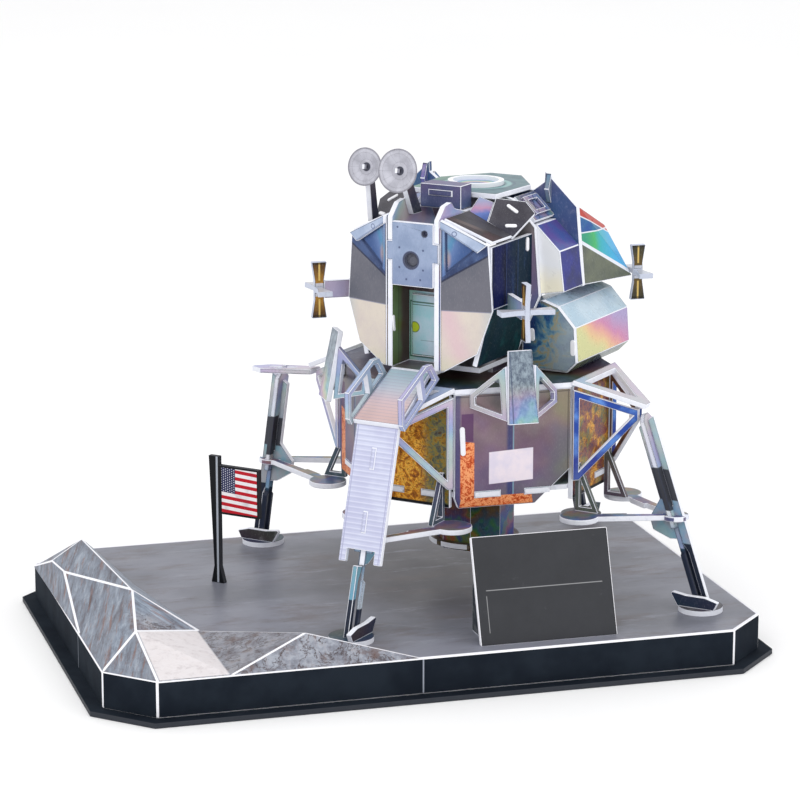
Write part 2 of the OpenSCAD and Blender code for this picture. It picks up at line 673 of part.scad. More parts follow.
// facets behind the aft cross board, running out to the rear thrusters
module aft_fairings() {
  u = aft_u - board - fit;
  p = [[u, 39.3 * k, 151.4 * k], [u, 42.2 * k, 120.8 * k], [u, 24.2 * k, 161 * k], [u, 24.2 * k, 118.8 * k],
    [-33 * k, 40 * k, 141 * k], [-45.4 * k, 46.6 * k, 119 * k], [-29 * k, 24.2 * k, 148 * k], [-43 * k, 24.2 * k, 118.8 * k]];
  color([0.3, 0.6, 0.75]) lander() both()
    polyhedron(p, [[0, 3, 1], [0, 2, 3], [0, 5, 4], [0, 1, 5], [0, 4, 6], [0, 6, 2], [4, 5, 6], [5, 7, 6], [1, 7, 5], [1, 3, 7],
      [2, 7, 3], [2, 6, 7]]);
}

// small crossing boards on the aft cross board's shoulders
module aft_fins() {
  color([0.2, 0.35, 0.6]) lander() both()
    upright([[aft_u + fit, 152 * k], [-6.5 * k, 158 * k], [aft_u + fit, 164 * k]], 27.4 * k);
}

// ---------- thrusters ----------

q_z = 120.4 * k;
q_front = 63.6 * k;      // axis to the front pair of thruster crosses
q_rear = 67.6 * k;       // axis to the rear pair

module thruster(r) {
  upright([[r - 3, q_z - 11.2], [r + 3, q_z - 11.2], [r + 1.9, q_z - 4], [r + 1.9, q_z + 4], [r + 3, q_z + 11],
    [r - 3, q_z + 11], [r - 1.9, q_z + 4], [r - 1.9, q_z - 4]]);
  translate([r - 3, -10.6, q_z - board / 2]) linear_extrude(board) polygon([[0, 0], [6, 0], [4.6, 6.4], [4.6, 14.8], [6, 21.2],
    [0, 21.2], [1.4, 14.8], [1.4, 6.4]]);
}

module thrusters() {
  color([0.5, 0.32, 0.1]) translate([0, 0, deck_top]) {
    for (a = [180, 270]) rotate([0, 0, a]) thruster(q_front);
    for (a = [0, 90]) rotate([0, 0, a]) thruster(q_rear);
  }
}

module thruster_arms() {
  color([0.6, 0.62, 0.68]) translate([0, 0, deck_top]) for (a = [180, 270]) rotate([0, 0, a])
    translate([(wall_y + 1.2) * sqrt(2), -board / 2, q_z - 3.4]) cube([q_front - 1.9 - fit - (wall_y + 1.2) * sqrt(2), board, 6.8]);
}

// ---------- antennas ----------

dish_big = [45, -8.6, 169.6] * k;
dish_small = [36, -28.2, 168.4] * k;

// height of the shoulder board's outer face at a distance from the middle plane
function shoulder_z(y) = b1[2] + 0.7 - (y - b1[1]) * (b1[2] - b2[2] - 0.6) / (b2[1] - b1[1]);

// stalks: one glued to the inside of a rib, one standing on the left shoulder
module dish_masts() {
  z = shoulder_z(-dish_small[1] - board / 2) / k + 0.05;
  color([0.15, 0.15, 0.17]) lander() {
    translate([0, -rib_in + board / 2 + 0.05, 0]) upright([[31, 152], [38, 152], [45.35, 166], [44.3, 172], [42.3, 171]] * k);
    translate([0, dish_small[1], 0]) upright([[28.8, z], [34, z], [36.45, 165.2], [35.35, 171.4], [33.4, 170.4]] * k);
  }
}

module dish(r) rotate([0, 80, 0]) {
  difference() {
    cylinder(r1 = r * 0.45, r2 = r, h = r * 0.3);
    translate([0, 0, 0.8]) cylinder(r1 = r * 0.40, r2 = r * 0.95, h = r * 0.3);
  }
  translate([-0.9, -0.5, 0.2]) cube([1.8, 1, r * 0.42]);
}

module dishes() {
  color([0.82, 0.82, 0.85]) lander() {
    translate(dish_big) dish(dish_r);
    translate(dish_small) dish(dish_r * 0.88);
  }
}

base_floor();
base_walls();
base_deck();
rock_left();
rock_front();
plaque();
plaque_prop();
flag();
stage_floor();
stage_top();
stage_quads();
stage_bays();
nozzle();
nozzle_ring();
outriggers();
outrigger_tops();
left_wing();
leg_radial();
leg_cross();
leg_braces();
leg_brackets();
pads();
pad_dishes();
porch();
ladder();
handrails();
deflector_plates();
deflector_frames();
cabin_floor();
cabin_panel();
cabin_ribs();
hatch();
cabin_cheeks();
cabin_brows();
cabin_sides();
cabin_shoulders();
cabin_facets();
mid_shoulders();
roof();
roof_ring();
roof_box();
bulkhead_mid();
bulkhead_aft();
side_bays();
tank_boxes();
aft_fairings();
aft_fins();
thrusters();
thruster_arms();
dish_masts();
dishes();
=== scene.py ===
import math
from functools import reduce
import bmesh
import bpy
import numpy as np
from mathutils.bvhtree import BVHTree
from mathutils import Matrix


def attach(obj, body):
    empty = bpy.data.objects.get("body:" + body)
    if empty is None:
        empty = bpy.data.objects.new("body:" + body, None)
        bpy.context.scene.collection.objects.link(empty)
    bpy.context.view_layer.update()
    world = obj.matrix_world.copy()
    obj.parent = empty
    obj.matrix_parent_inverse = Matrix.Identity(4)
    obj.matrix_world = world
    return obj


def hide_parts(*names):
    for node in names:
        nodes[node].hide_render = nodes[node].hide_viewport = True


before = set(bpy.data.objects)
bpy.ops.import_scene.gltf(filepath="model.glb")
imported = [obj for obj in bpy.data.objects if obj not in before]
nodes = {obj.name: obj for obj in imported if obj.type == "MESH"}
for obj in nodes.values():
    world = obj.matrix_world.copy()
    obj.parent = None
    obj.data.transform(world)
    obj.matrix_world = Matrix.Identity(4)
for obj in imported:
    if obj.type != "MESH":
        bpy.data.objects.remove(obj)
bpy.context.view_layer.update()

MM = 0.001
JOIN = 0.002 * MM        # corners closer than this are one corner
DECK = 16.0              # top of the ground board above the table, mm
BOARD = 2.0              # thickness of every board, mm
HALF = math.sqrt(0.5)
WAIST = 119.0            # height of the cabin's widest fold above the deck, mm
HATCH_MIDDLE = 107.6     # height of the hatch's middle above the deck, mm
FRONT_LEG = 55.0         # beyond this far out of the hatch a leg board is the front leg's, mm


# ---------- a small vocabulary for prints ----------

class Val:
    """One number at each point of a surface. Sums and products of these become math nodes."""

    def __init__(self, tree, socket):
        self.tree, self.socket = tree, socket

    def __add__(self, other):
        return op("ADD", self, other)

    def __radd__(self, other):
        return op("ADD", other, self)

    def __sub__(self, other):
        return op("SUBTRACT", self, other)

    def __rsub__(self, other):
        return op("SUBTRACT", other, self)

    def __mul__(self, other):
        return op("MULTIPLY", self, other)

    def __rmul__(self, other):
        return op("MULTIPLY", other, self)

    def __truediv__(self, other):
        return op("DIVIDE", self, other)

    def __abs__(self):
        return op("ABSOLUTE", self)


def ink(red, green, blue):
    """A printed colour given as 0 to 255 screen values, as linear light."""
    def channel(c):
        c /= 255
        return c / 12.92 if c <= 0.04045 else ((c + 0.055) / 1.055) ** 2.4
    return (channel(red), channel(green), channel(blue), 1)


def plug(tree, value, socket):
    """Joins a value to a node's input, or sets the input to a plain number or to an ink's three values."""
    if isinstance(value, Val):
        tree.links.new(value.socket, socket)
    else:
        socket.default_value = ink(*value) if isinstance(value, tuple) else value


def op(kind, *terms):
    """One math node of the given kind."""
    tree = next(t.tree for t in terms if isinstance(t, Val))
    node = tree.nodes.new("ShaderNodeMath")
    node.operation = kind
    for i, term in enumerate(terms):
        plug(tree, term, node.inputs[i])
    return Val(tree, node.outputs[0])


def rise(value, low, high):
    """0 below low, 1 above high, and a smooth step between them."""
    node = value.tree.nodes.new("ShaderNodeMapRange")
    node.interpolation_type = "SMOOTHSTEP"
    plug(value.tree, value, node.inputs[0])
    node.inputs[1].default_value, node.inputs[2].default_value = low, high
    return Val(value.tree, node.outputs[0])


def over(value, edge, soft=0.12):
    """1 above the edge and 0 below it, with soft millimetres of drift on each side."""
    return rise(value, edge - soft, edge + soft)


def under(value, edge, soft=0.12):
    return 1 - over(value, edge, soft)


def band(value, low, high, soft=0.12):
    """1 between low and high."""
    return over(value, low, soft) * under(value, high, soft)


def line(value, at, width=0.4):
    """1 on a printed line."""
    return band(value, at - width / 2, at + width / 2, 0.1)


def largest(*values):
    return reduce(lambda first, second: op("MAXIMUM", first, second), values)


def away(*offsets):
    """Distance from a point or a line: the root of the sum of the offsets' squares."""
    return op("SQRT", reduce(lambda first, second: first + second, [offset * offset for offset in offsets]))


def inside(a, b, corners, soft=0.12):
    """1 inside a convex outline in the plane of a and b, with corners anticlockwise: the product of one soft
    half-plane for each side."""
    out = None
    for i, (a0, b0) in enumerate(corners):
        a1, b1 = corners[(i + 1) % len(corners)]
        run, climb = a1 - a0, b1 - b0
        size = math.hypot(run, climb)
        side = over((b - b0) * (run / size) - (a - a0) * (climb / size), 0, soft)
        out = side if out is None else out * side
    return out


def blend(first, second, share):
    """first where share is 0 and second where it is 1."""
    tree = next(t.tree for t in (share, first, second) if isinstance(t, Val))
    node = tree.nodes.new("ShaderNodeMix")
    node.data_type = "RGBA"
    plug(tree, share, node.inputs[0])
    plug(tree, first, node.inputs[6])
    plug(tree, second, node.inputs[7])
    return Val(tree, node.outputs[2])


def ramp(value, *stops):
    """Colours along a value: each stop is (where, colour)."""
    node = value.tree.nodes.new("ShaderNodeValToRGB")
    plug(value.tree, value, node.inputs[0])
    cells = node.color_ramp.elements
    for where in [stop[0] for stop in stops[1:-1]]:
        cells.new(where)
    cells[0].position, cells[-1].position = stops[0][0], stops[-1][0]
    for cell, stop in zip(cells, stops):
        cell.color = ink(*stop[1])
    return Val(value.tree, node.outputs[0])


RAINBOW = [(0.0, (214, 170, 194)), (0.16, (222, 200, 176)), (0.33, (190, 210, 168)), (0.5, (138, 198, 200)),
           (0.66, (124, 158, 214)), (0.83, (166, 148, 210)), (1.0, (214, 170, 194))]
DEEP = [(0.0, (128, 44, 92)), (0.16, (176, 96, 40)), (0.33, (112, 130, 46)), (0.5, (24, 122, 106)),
        (0.66, (28, 70, 150)), (0.83, (76, 42, 128)), (1.0, (128, 44, 92))]
RIM = (44, 50, 72)         # the dark line printed just inside a board's outline
RIM_REACH = 0.7            # how far in from the outline it shows, mm
RIM_TURN = (0.992, 0.965)  # cosines of the rounded corner's turn where the line starts and where it is full


class Print:
    """One printed or cut surface. Lengths are millimetres. x, y and z are the object's own; u runs out of the
    hatch, v to the right of someone facing it, w is the size of v, h is above the deck, and nx, nu and so on
    are the surface's direction. across runs along an upright wall, to the right seen from outside."""

    def __init__(self, name):
        self.material = bpy.data.materials.new(name)
        self.material.use_nodes = True
        tree = self.tree = self.material.node_tree
        tree.nodes.clear()
        self.shader = tree.nodes.new("ShaderNodeBsdfPrincipled")
        out = tree.nodes.new("ShaderNodeOutputMaterial")
        tree.links.new(self.shader.outputs[0], out.inputs[0])
        place = tree.nodes.new("ShaderNodeTexCoord")
        size = tree.nodes.new("ShaderNodeVectorMath")
        size.operation = "SCALE"
        size.inputs["Scale"].default_value = 1 / MM
        tree.links.new(place.outputs["Object"], size.inputs[0])
        self.x, self.y, self.z = self.parts(size.outputs[0])
        self.nx, self.ny, self.nz = self.parts(place.outputs["Normal"])
        self.u, self.v = (self.x + self.y) * -HALF, (self.x - self.y) * HALF
        self.nu, self.nv = (self.nx + self.ny) * -HALF, (self.nx - self.ny) * HALF
        self.h = self.z - DECK
        self.w = abs(self.v)
        self.across = self.nx * self.y - self.ny * self.x

    def parts(self, socket):
        node = self.tree.nodes.new("ShaderNodeSeparateXYZ")
        self.tree.links.new(socket, node.inputs[0])
        return [Val(self.tree, s) for s in node.outputs]

    def cloud(self, terms, detail, seed, rough, warp):
        """Noise from 0 to 1 over three given coordinates."""
        join = self.tree.nodes.new("ShaderNodeCombineXYZ")
        for i, value in enumerate(terms):
            plug(self.tree, value, join.inputs[i])
        node = self.tree.nodes.new("ShaderNodeTexNoise")
        node.noise_dimensions = "4D"
        self.tree.links.new(join.outputs[0], node.inputs["Vector"])
        settings = {"W": seed, "Scale": 1, "Detail": detail, "Roughness": rough, "Distortion": warp}
        for key, number in settings.items():
            node.inputs[key].default_value = number
        return Val(self.tree, node.outputs["Fac"])

    def noise(self, size, detail=3, seed=0.0, along=(1, 1, 1), rough=0.55, warp=0.0):
        """Clouds about size millimetres across, stretched along the axes as along says."""
        a, b, c = along
        terms = (self.x / (size * a), self.y / (size * b), self.z / (size * c))
        return self.cloud(terms, detail, seed, rough, warp)

    def wash(self, first, second, size, seed=0.0, low=0.35, high=0.65):
        """Two inks drifting into each other in clouds."""
        return blend(first, second, rise(self.noise(size, 4, seed), low, high))

    def sheen(self, size=26, seed=0.0, turns=1.2, table=RAINBOW):
        """Rainbow foil: a slow drift across the board, bent by clouds, read through the rainbow table."""
        drift = (self.u * 0.9 + self.h * 1.3 + self.v * 0.6) / (size * 3) + self.noise(size, 2, seed) * turns
        return ramp(op("FRACT", drift + seed * 0.37), *table)

    def grain(self, colour, seed=0.0, share=0.1):
        """The foil's fine brushed lines, pale and dark."""
        fine = self.noise(0.35, 3, seed + 9.2, along=(1, 1, 3), rough=0.6)
        colour = blend(colour, (18, 22, 40), rise(fine, 0.52, 0.8) * share)
        return blend(colour, (250, 252, 255), rise(fine, 0.48, 0.2) * share)

    def foil(self, base, tint=0.35, seed=0.0, size=26, table=RAINBOW):
        """A printed colour with rainbow sheen, brushed clouds and fine grain over it."""
        colour = blend(base, self.sheen(size, seed, table=table), tint)
        cloud = self.noise(7, 4, seed + 3.1, rough=0.65)
        colour = blend(colour, (30, 34, 60), rise(cloud, 0.52, 0.85) * 0.25)
        colour = blend(colour, (250, 250, 255), rise(cloud, 0.46, 0.2) * 0.2)
        return self.grain(colour, seed)

    def near_edge(self):
        """1 close to a board's edge, found where a rounded corner of that reach would start to turn."""
        soft = self.tree.nodes.new("ShaderNodeBevel")
        soft.samples = 6
        soft.inputs["Radius"].default_value = RIM_REACH * MM
        true = self.tree.nodes.new("ShaderNodeNewGeometry")
        same = self.tree.nodes.new("ShaderNodeVectorMath")
        same.operation = "DOT_PRODUCT"
        self.tree.links.new(soft.outputs[0], same.inputs[0])
        self.tree.links.new(true.outputs["Normal"], same.inputs[1])
        return rise(Val(self.tree, same.outputs["Value"]), *RIM_TURN)

    def lay(self, second, share):
        """Prints a second colour over what is there, as strongly as share says."""
        self.colour = blend(self.colour, second, share)

    def card(self, colour, rough, metal, **more):
        """Finish of a printed board, with the paper's fine tooth."""
        return self.finish(colour, rough, metal, self.noise(0.7, 3), 0.01, **more)

    def finish(self, colour, rough, metal, bump=None, height=0.02, rim=RIM, rim_share=0.8, gloss=0.3):
        """Joins the colour, with its dark rim, and the gloss and bump to the shader. height is in mm."""
        if rim is not None:
            colour = blend(colour, rim, self.near_edge() * rim_share)
        plug(self.tree, colour, self.shader.inputs["Base Color"])
        if not isinstance(rough, Val):
            rough = self.noise(3.5, 4, 7.7) * 0.16 + (rough - 0.08)
        plug(self.tree, rough, self.shader.inputs["Roughness"])
        plug(self.tree, metal, self.shader.inputs["Metallic"])
        self.shader.inputs["Specular IOR Level"].default_value = gloss
        if bump is not None:
            node = self.tree.nodes.new("ShaderNodeBump")
            node.inputs["Distance"].default_value = height * MM
            plug(self.tree, bump, node.inputs["Height"])
            self.tree.links.new(node.outputs[0], self.shader.inputs["Normal"])
        return self.material


# ---------- prints ----------

def foam_edge(name, base=(236, 238, 246), shade=(180, 186, 208)):
    """A board's cut edge: pale foam between two paper faces."""
    p = Print(name)
    p.colour = blend(base, shade, rise(p.noise(1.6, 4, 2.0), 0.5, 0.8) * 0.3)
    p.lay(shade, rise(p.noise(14, 2, 5.0), 0.55, 0.8) * 0.35)
    return p.finish(p.colour, 0.62, 0.0, p.noise(0.4, 2), 0.05, rim=None)


def plain(name, base, tint=0.2, seed=0.0, table=RAINBOW, metal=0.15, gloss=0.3, rim=RIM):
    """A board in one foil colour."""
    p = Print(name)
    return p.card(p.foil(base, tint, seed, table=table), 0.38, metal, rim=rim, gloss=gloss)


def black_board(name):
    """The plinth's walls and floor: nearly black, with the pale joints where two boards of the frame meet."""
    p = Print(name)
    p.colour = p.wash((25, 31, 40), (34, 41, 50), 18, 1.0)
    seams = largest(line(p.x, -50.0, 0.55) * under(p.y, -90), line(p.y, -33.0, 0.5) * under(p.x, -160))
    p.lay((150, 156, 168), seams * over(p.z, 2.4))
    return p.finish(p.colour, 0.8, 0.0, p.noise(0.5, 3), 0.01, rim=None, gloss=0.05)


def ground(name):
    """Grey ground print: brown patches, long pale smears, the lander's painted shadow and reflection darkening
    the middle, and one faint crater.
    """
    p = Print(name)
    p.colour = blend((106, 108, 118), (130, 132, 144),
                     rise(p.noise(46, 5, 2.0, along=(1.6, 0.8, 1)), 0.35, 0.65))
    # painted shadow and reflection of the lander: the ground darkens towards the middle, under it
    middle = away(p.x + 6, p.y - 2) + p.noise(26, 4, 3.0) * 24
    p.lay((78, 75, 82), rise(middle, 86, 48) * 0.85)
    p.lay((96, 86, 88), rise(p.noise(20, 6, 9.0, along=(2.2, 0.8, 1), rough=0.7), 0.48, 0.66) * 0.65)
    p.lay((156, 160, 174), rise(p.noise(9, 6, 4.0, along=(3.0, 0.7, 1), rough=0.74), 0.54, 0.74) * 0.6)
    p.lay((68, 62, 66), rise(p.noise(3.0, 7, 5.0, along=(3.4, 0.8, 1), rough=0.78), 0.56, 0.72) * 0.55)
    p.lay((170, 172, 182), rise(p.noise(1.6, 5, 7.0, along=(2.4, 0.9, 1), rough=0.75), 0.6, 0.76) * 0.35)
    # faint crater: a dark hollow with a pale lip
    crater = away((p.x - 16) * math.sqrt(0.3), p.y + 66)
    p.lay((80, 74, 76), rise(crater, 5.5, 1.0) * 0.6)
    p.lay((170, 170, 178), band(crater, 4.6, 6.2, 0.7) * 0.4)
    # straight scratch where two sheets of the print meet
    p.lay((160, 160, 166), line(p.y + p.x * 0.62, -86.0, 0.3) * band(p.x, -62, -36, 6) * 0.6)
    rough = p.noise(12, 3, 6.0) * 0.2 + 0.28
    return p.finish(p.colour, rough, 0.0, p.noise(1.1, 4), 0.02, rim=None, gloss=0.25)


def rock(name):
    """Stone: streaks up the outer slopes and down the inner ones, with rust, dark veins and cracks, and painted
    shade on the low faces turned towards -x.
    """
    p = Print(name)
    inner = over(p.nx, 0.1, 0.02)
    up = p.x * 0.37 + p.y * 0.9 + p.z * 0.24
    down = p.x * 0.74 - p.y * 0.47 - p.z * 0.47
    along = up * (1 - inner) + down * inner
    across = (p.x * 0.92 - p.y * 0.38 + p.z * 0.4) * (1 - inner) + (p.x * 0.54 + p.y * 0.84) * inner

    def streak(wide, long, detail, seed, warp=0.25):
        return p.cloud((across / wide, along / long, inner * 7), detail, seed, 0.72, warp)

    front = over(p.x, -150, 3) * under(p.y, -44, 4)
    p.colour = ramp(streak(3.4, 20, 7, 1.0), (0.32, (84, 82, 92)), (0.42, (116, 122, 136)),
                    (0.5, (136, 148, 164)), (0.58, (160, 172, 188)), (0.7, (196, 204, 216)))
    p.lay((142, 98, 80), rise(streak(2.2, 26, 6, 6.0), 0.53, 0.62) * 0.7)
    p.lay((62, 54, 60), rise(streak(1.0, 18, 7, 11.0, 0.5), 0.56, 0.65) * 0.75)
    p.lay((206, 214, 226), rise(streak(0.8, 24, 6, 14.0), 0.58, 0.68) * 0.5)
    blotch = ramp(p.noise(7, 7, 5.0, rough=0.72), (0.34, (88, 84, 90)), (0.46, (134, 136, 146)),
                  (0.56, (168, 172, 182)), (0.68, (148, 134, 130)))
    p.lay(blotch, front * 0.85)
    vein = abs(p.noise(11, 7, 3.0, rough=0.68, warp=0.8) - 0.5)
    p.lay((66, 50, 48), rise(vein, 0.02, 0.002) * (0.2 + front * 0.65))
    p.lay((104, 80, 72), rise(p.noise(8, 6, 21.0, rough=0.72), 0.52, 0.66) * (0.15 + front * 0.5))
    # the paler facet at the front corner
    pale = inside(p.x, p.y, [(-149, -97), (-123, -97), (-123, -43), (-149, -58)], 0.5)
    bright = blend((232, 226, 227), (190, 180, 182), rise(p.noise(4, 6, 8.0, rough=0.72), 0.48, 0.7) * 0.6)
    p.lay(bright, pale * 0.88)
    # painted shade: the faces turned towards -x, below 40 mm, are darker
    dark = under(p.nx, -0.12, 0.06) * under(p.z, 40)
    p.lay((92, 84, 86), dark * 0.3)
    return p.finish(p.colour, 0.5, 0.0, p.noise(0.8, 5, 3.0), 0.06, rim=None, gloss=0.2)


def charcoal(name):
    """The blank plaque: a dark sheet with one thin rule across it and a short one down its left side."""
    p = Print(name)
    p.colour = blend((52, 53, 56), (66, 67, 71), p.noise(16, 5, 3.0, rough=0.7))
    p.lay((92, 93, 96), rise(p.noise(5, 5, 8.0, rough=0.75), 0.6, 0.78) * 0.4)
    face = under(p.ny, -0.8)
    rules = largest(line(p.z, 35.4, 0.3) * band(p.x, -21.5, 24.5, 0.2),
                    line(p.x, -21.5, 0.25) * band(p.z, 20.5, 33.5, 0.2))
    p.lay((196, 197, 199), rules * face * 0.5)
    return p.finish(p.colour, 0.55, 0.0, p.noise(0.6, 3), 0.01, rim=(30, 30, 33), gloss=0.12)


def banner(name):
    """Flag: thirteen stripes, a blue corner of pale dots, a black rim, and a dark pole with a pale core."""
    p = Print(name)
    pole_x, pole_y = -100.5, 18.3
    s = (p.x - pole_x - p.y + pole_y) * HALF
    low, high, left, right = 45.5, 63.7, 2.3, 18.6
    z = p.z + (s - left) * 0.05
    stripe = op("FRACT", (z - low) * (6.5 / (high - low)))
    cloth = blend((188, 26, 40), (240, 236, 238), over(stripe, 0.5, 0.03))
    canton = under(s, 8.6) * over(z, 53.9)
    dots_a = op("FRACT", s * 1.05 + 0.1) - 0.5
    dots_b = op("FRACT", z * 1.05 + op("FLOOR", s * 1.05 + 0.1) * 0.5) - 0.5
    dots = under(away(dots_a, dots_b), 0.24, 0.06)
    cloth = blend(cloth, blend((34, 38, 78), (220, 222, 232), dots * 0.85), canton)
    cloth = blend(cloth, (80, 60, 80), rise(p.noise(5, 3, 2.0), 0.5, 0.75) * 0.25)
    field = inside(s, p.z, [(left, low), (right, low), (right, high), (left, high)])
    p.colour = blend((16, 18, 22), cloth, field)
    p.lay((176, 182, 192), band(s, -0.3, 0.6, 0.1) * 0.9)
    return p.finish(p.colour, 0.45, 0.0, p.noise(0.5, 3), 0.01, rim=None, gloss=0.15)


def amber(name):
    """Crumpled gold foil: bright folds over brown hollows, cooler towards one side of each bay."""
    p = Print(name)
    fold = p.noise(4.4, 8, 1.0, rough=0.66, warp=2.0)
    p.colour = ramp(fold, (0.3, (60, 34, 10)), (0.4, (150, 84, 14)), (0.48, (222, 140, 26)),
                    (0.54, (250, 196, 74)), (0.6, (196, 110, 20)), (0.68, (120, 66, 18)), (0.78, (70, 46, 26)))
    vein = abs(p.noise(3.0, 6, 15.0, rough=0.6, warp=2.5) - 0.5)
    p.lay((48, 26, 10), rise(vein, 0.03, 0.0) * 0.75)
    cool = ramp(p.noise(3.0, 7, 5.0, rough=0.66, warp=1.6), (0.32, (26, 34, 44)), (0.43, (64, 92, 92)),
                (0.5, (120, 128, 74)), (0.56, (160, 120, 40)), (0.64, (56, 62, 50)), (0.74, (30, 34, 44)))
    front = over(p.u, 20, 2)
    share = largest(front * rise(p.v + p.noise(9, 3, 2.0) * 6, 5, 11.5),
                    (1 - front) * rise(p.noise(9, 3, 8.0), 0.42, 0.56))
    p.lay(cool, share * 0.88)
    plum = ramp(p.noise(3.2, 7, 6.0, rough=0.66, warp=1.8), (0.3, (30, 22, 34)), (0.45, (96, 40, 84)),
                (0.52, (150, 84, 60)), (0.6, (70, 40, 96)), (0.72, (28, 26, 40)))
    p.lay(plum, (1 - front) * rise(p.noise(7, 3, 12.0), 0.44, 0.56) * 0.9)
    p.lay((16, 16, 18), under(p.h, 43.4, 0.2))
    return p.finish(p.colour, 0.3, 0.3, fold, 0.15)


def quadrant(name):
    """Descent stage panels: plum foil folded down the middle, gold foil left and below, one blank plate."""
    p = Print(name)
    a = p.across
    p.colour = p.wash((104, 84, 100), (132, 112, 124), 16, 2.0)
    p.lay((116, 112, 86), rise(a + p.noise(16, 3, 4.0) * 14, 14, 28) * 0.85)
    p.lay(p.sheen(20, 2.0, 1.8), 0.14)
    p.lay((76, 52, 90), rise(p.h + p.noise(9, 3, 5.0) * 10, 84, 70) * 0.4)
    p.lay((42, 56, 112), largest(band(a, -2.3, 0.1, 0.8) * 0.8, band(a, -23.4, -21.0, 0.6) * 0.6))
    p.lay((140, 186, 204), line(a, 0.25, 0.5) * 0.6)
    p.colour = p.grain(p.colour, 2.0, 0.08)
    fold = p.noise(2.6, 7, 3.0, rough=0.68, warp=1.8)
    gold = ramp(fold, (0.32, (110, 34, 8)), (0.45, (206, 78, 24)), (0.54, (250, 176, 120)),
                (0.62, (214, 96, 34)), (0.74, (120, 44, 16)))
    strip = inside(a, p.h, [(-21.0, 45.5), (-15.4, 44.5), (-15.4, 67.5), (-21.0, 68.5)])
    foot = inside(a, p.h, [(-21.6, 41), (8.5, 41), (7.6, 46.2), (-20.6, 46.2)])
    p.lay(gold, largest(strip, foot))
    p.lay((84, 44, 92), inside(a, p.h, [(-20.6, 68.4), (-15.8, 68.0), (-15.8, 79), (-20.6, 79)]) * 0.8)
    plate = inside(a, p.h, [(-9.5, 50.8), (8.2, 51.6), (8.2, 64.2), (-9.5, 63.4)])
    white = p.wash((238, 226, 234), (222, 214, 230), 6, 6.0)
    p.lay(white, plate * under(p.y, -40))
    p.lay((30, 30, 40), largest(line(p.h, 85.6, 0.4), line(a, 22.2, 0.4)) * 0.6)
    return p.finish(p.colour, 0.34, 0.15, fold, 0.03)


def bell(name):
    """Nozzle: each facet its own hue, from brown through green and gold to blue."""
    p = Print(name)
    facet = op("ARCTAN2", p.ny, p.nx) / (2 * math.pi) + 0.5
    p.colour = ramp(facet, (0.0, (70, 60, 50)), (0.16, (88, 74, 58)), (0.24, (70, 110, 60)),
                    (0.3, (120, 150, 60)), (0.36, (34, 70, 150)), (0.5, (36, 40, 84)), (0.75, (90, 70, 50)),
                    (1.0, (70, 60, 50)))
    p.lay(p.sheen(7, 3.0, 2.6, table=DEEP), 0.5)
    p.lay((16, 18, 24), rise(p.h, 24, 34) * 0.6)
    return p.finish(p.grain(p.colour, 4.0), 0.3, 0.25, p.noise(0.8, 3), 0.01)


def strut(name):
    """Leg boards: silver and teal above, a graphite block, rose silver, and a navy blade at the foot."""
    p = Print(name)
    p.colour = p.foil((168, 178, 198), 0.42, 0.0, 16)
    p.lay((96, 150, 168), rise(p.noise(8, 3, 4.0) * 14 + p.h, 76, 60) * 0.45)
    p.lay((64, 66, 74), band(p.h, 42.5, 54.5, 0.25))
    p.lay((178, 160, 168), band(p.h, 26, 42.5, 0.3) * rise(p.noise(6, 3, 6.0), 0.4, 0.6) * 0.5)
    front = over(p.u, FRONT_LEG, 2)
    p.lay((92, 160, 182), front * under(p.h, 50) * 0.7)
    p.lay((32, 40, 58), under(p.h + front * 10, 26, 0.25))
    return p.card(p.colour, 0.36, 0.15)


def leg_sides(name, base=(172, 182, 202), tint=0.42):
    """The strut boards that face along the legs: pale, with a graphite block and a dark blade near the foot."""
    p = Print(name)
    p.colour = p.foil(base, tint, 4.0, 16)
    p.lay((60, 62, 70), band(p.h, 39, 55.5, 0.25))
    front = over(p.u, FRONT_LEG, 2)
    p.lay((196, 206, 220), front * under(p.h, 39) * 0.7)
    p.lay((32, 40, 58), under(p.h + front * 12, 24, 0.25))
    p.lay((70, 132, 168), band(p.h, 24, 34, 2.0) * 0.5)
    return p.card(p.colour, 0.36, 0.12)


def brace_print(name):
    """Thin leg braces: navy, brown and blue foil with a pale line along each side."""
    p = Print(name)
    p.colour = p.wash((48, 56, 84), (112, 76, 56), 9, 4.0, 0.42, 0.58)
    p.lay((44, 74, 160), rise(p.noise(7, 3, 9.0), 0.54, 0.64) * 0.7)
    p.lay(p.sheen(12, 5.0, 1.8), 0.22)
    return p.card(p.grain(p.colour), 0.36, 0.2, rim=(196, 202, 220), rim_share=0.6)


def outrigger_print(name):
    """Triangle frames: deep blue on the right-hand leg, silver on the rest, warm inside."""
    p = Print(name)
    right = over(p.x, 0, 2) * under(p.y, 0, 2)
    silver = p.foil((172, 180, 206), 0.42, 6.0, 18)
    blue = p.wash((34, 70, 158), (96, 142, 214), 8, 3.0, 0.4, 0.66)
    blue = blend(blue, (44, 36, 122), rise(p.h + p.noise(8, 3, 6.0) * 8, 72, 58) * 0.7)
    warm = p.wash((150, 104, 52), (88, 62, 70), 8, 5.0)
    inner = under(p.nx * p.x + p.ny * p.y, 0, 1.0)
    colour = blend(silver, blend(blue, warm, inner), right)
    return p.card(colour, 0.34, 0.2, rim=(52, 62, 104))


def tread(name):
    """Ladder board: pale lilac with a fine line for every rung and a border line."""
    p = Print(name)
    rung = op("FRACT", p.h / 1.9)
    p.colour = p.wash((206, 210, 232), (190, 192, 220), 14, 2.0)
    face = over(p.nu, 0.8, 0.05)
    p.lay((182, 186, 212), under(rung, 0.3, 0.1) * face * 0.6)
    p.lay((226, 228, 242), band(rung, 0.4, 0.6, 0.08) * face * 0.5)
    p.lay((168, 170, 202), line(p.w, 8.0, 0.35) * face)
    return p.card(p.colour, 0.4, 0.05, rim=(120, 124, 160), rim_share=0.5)


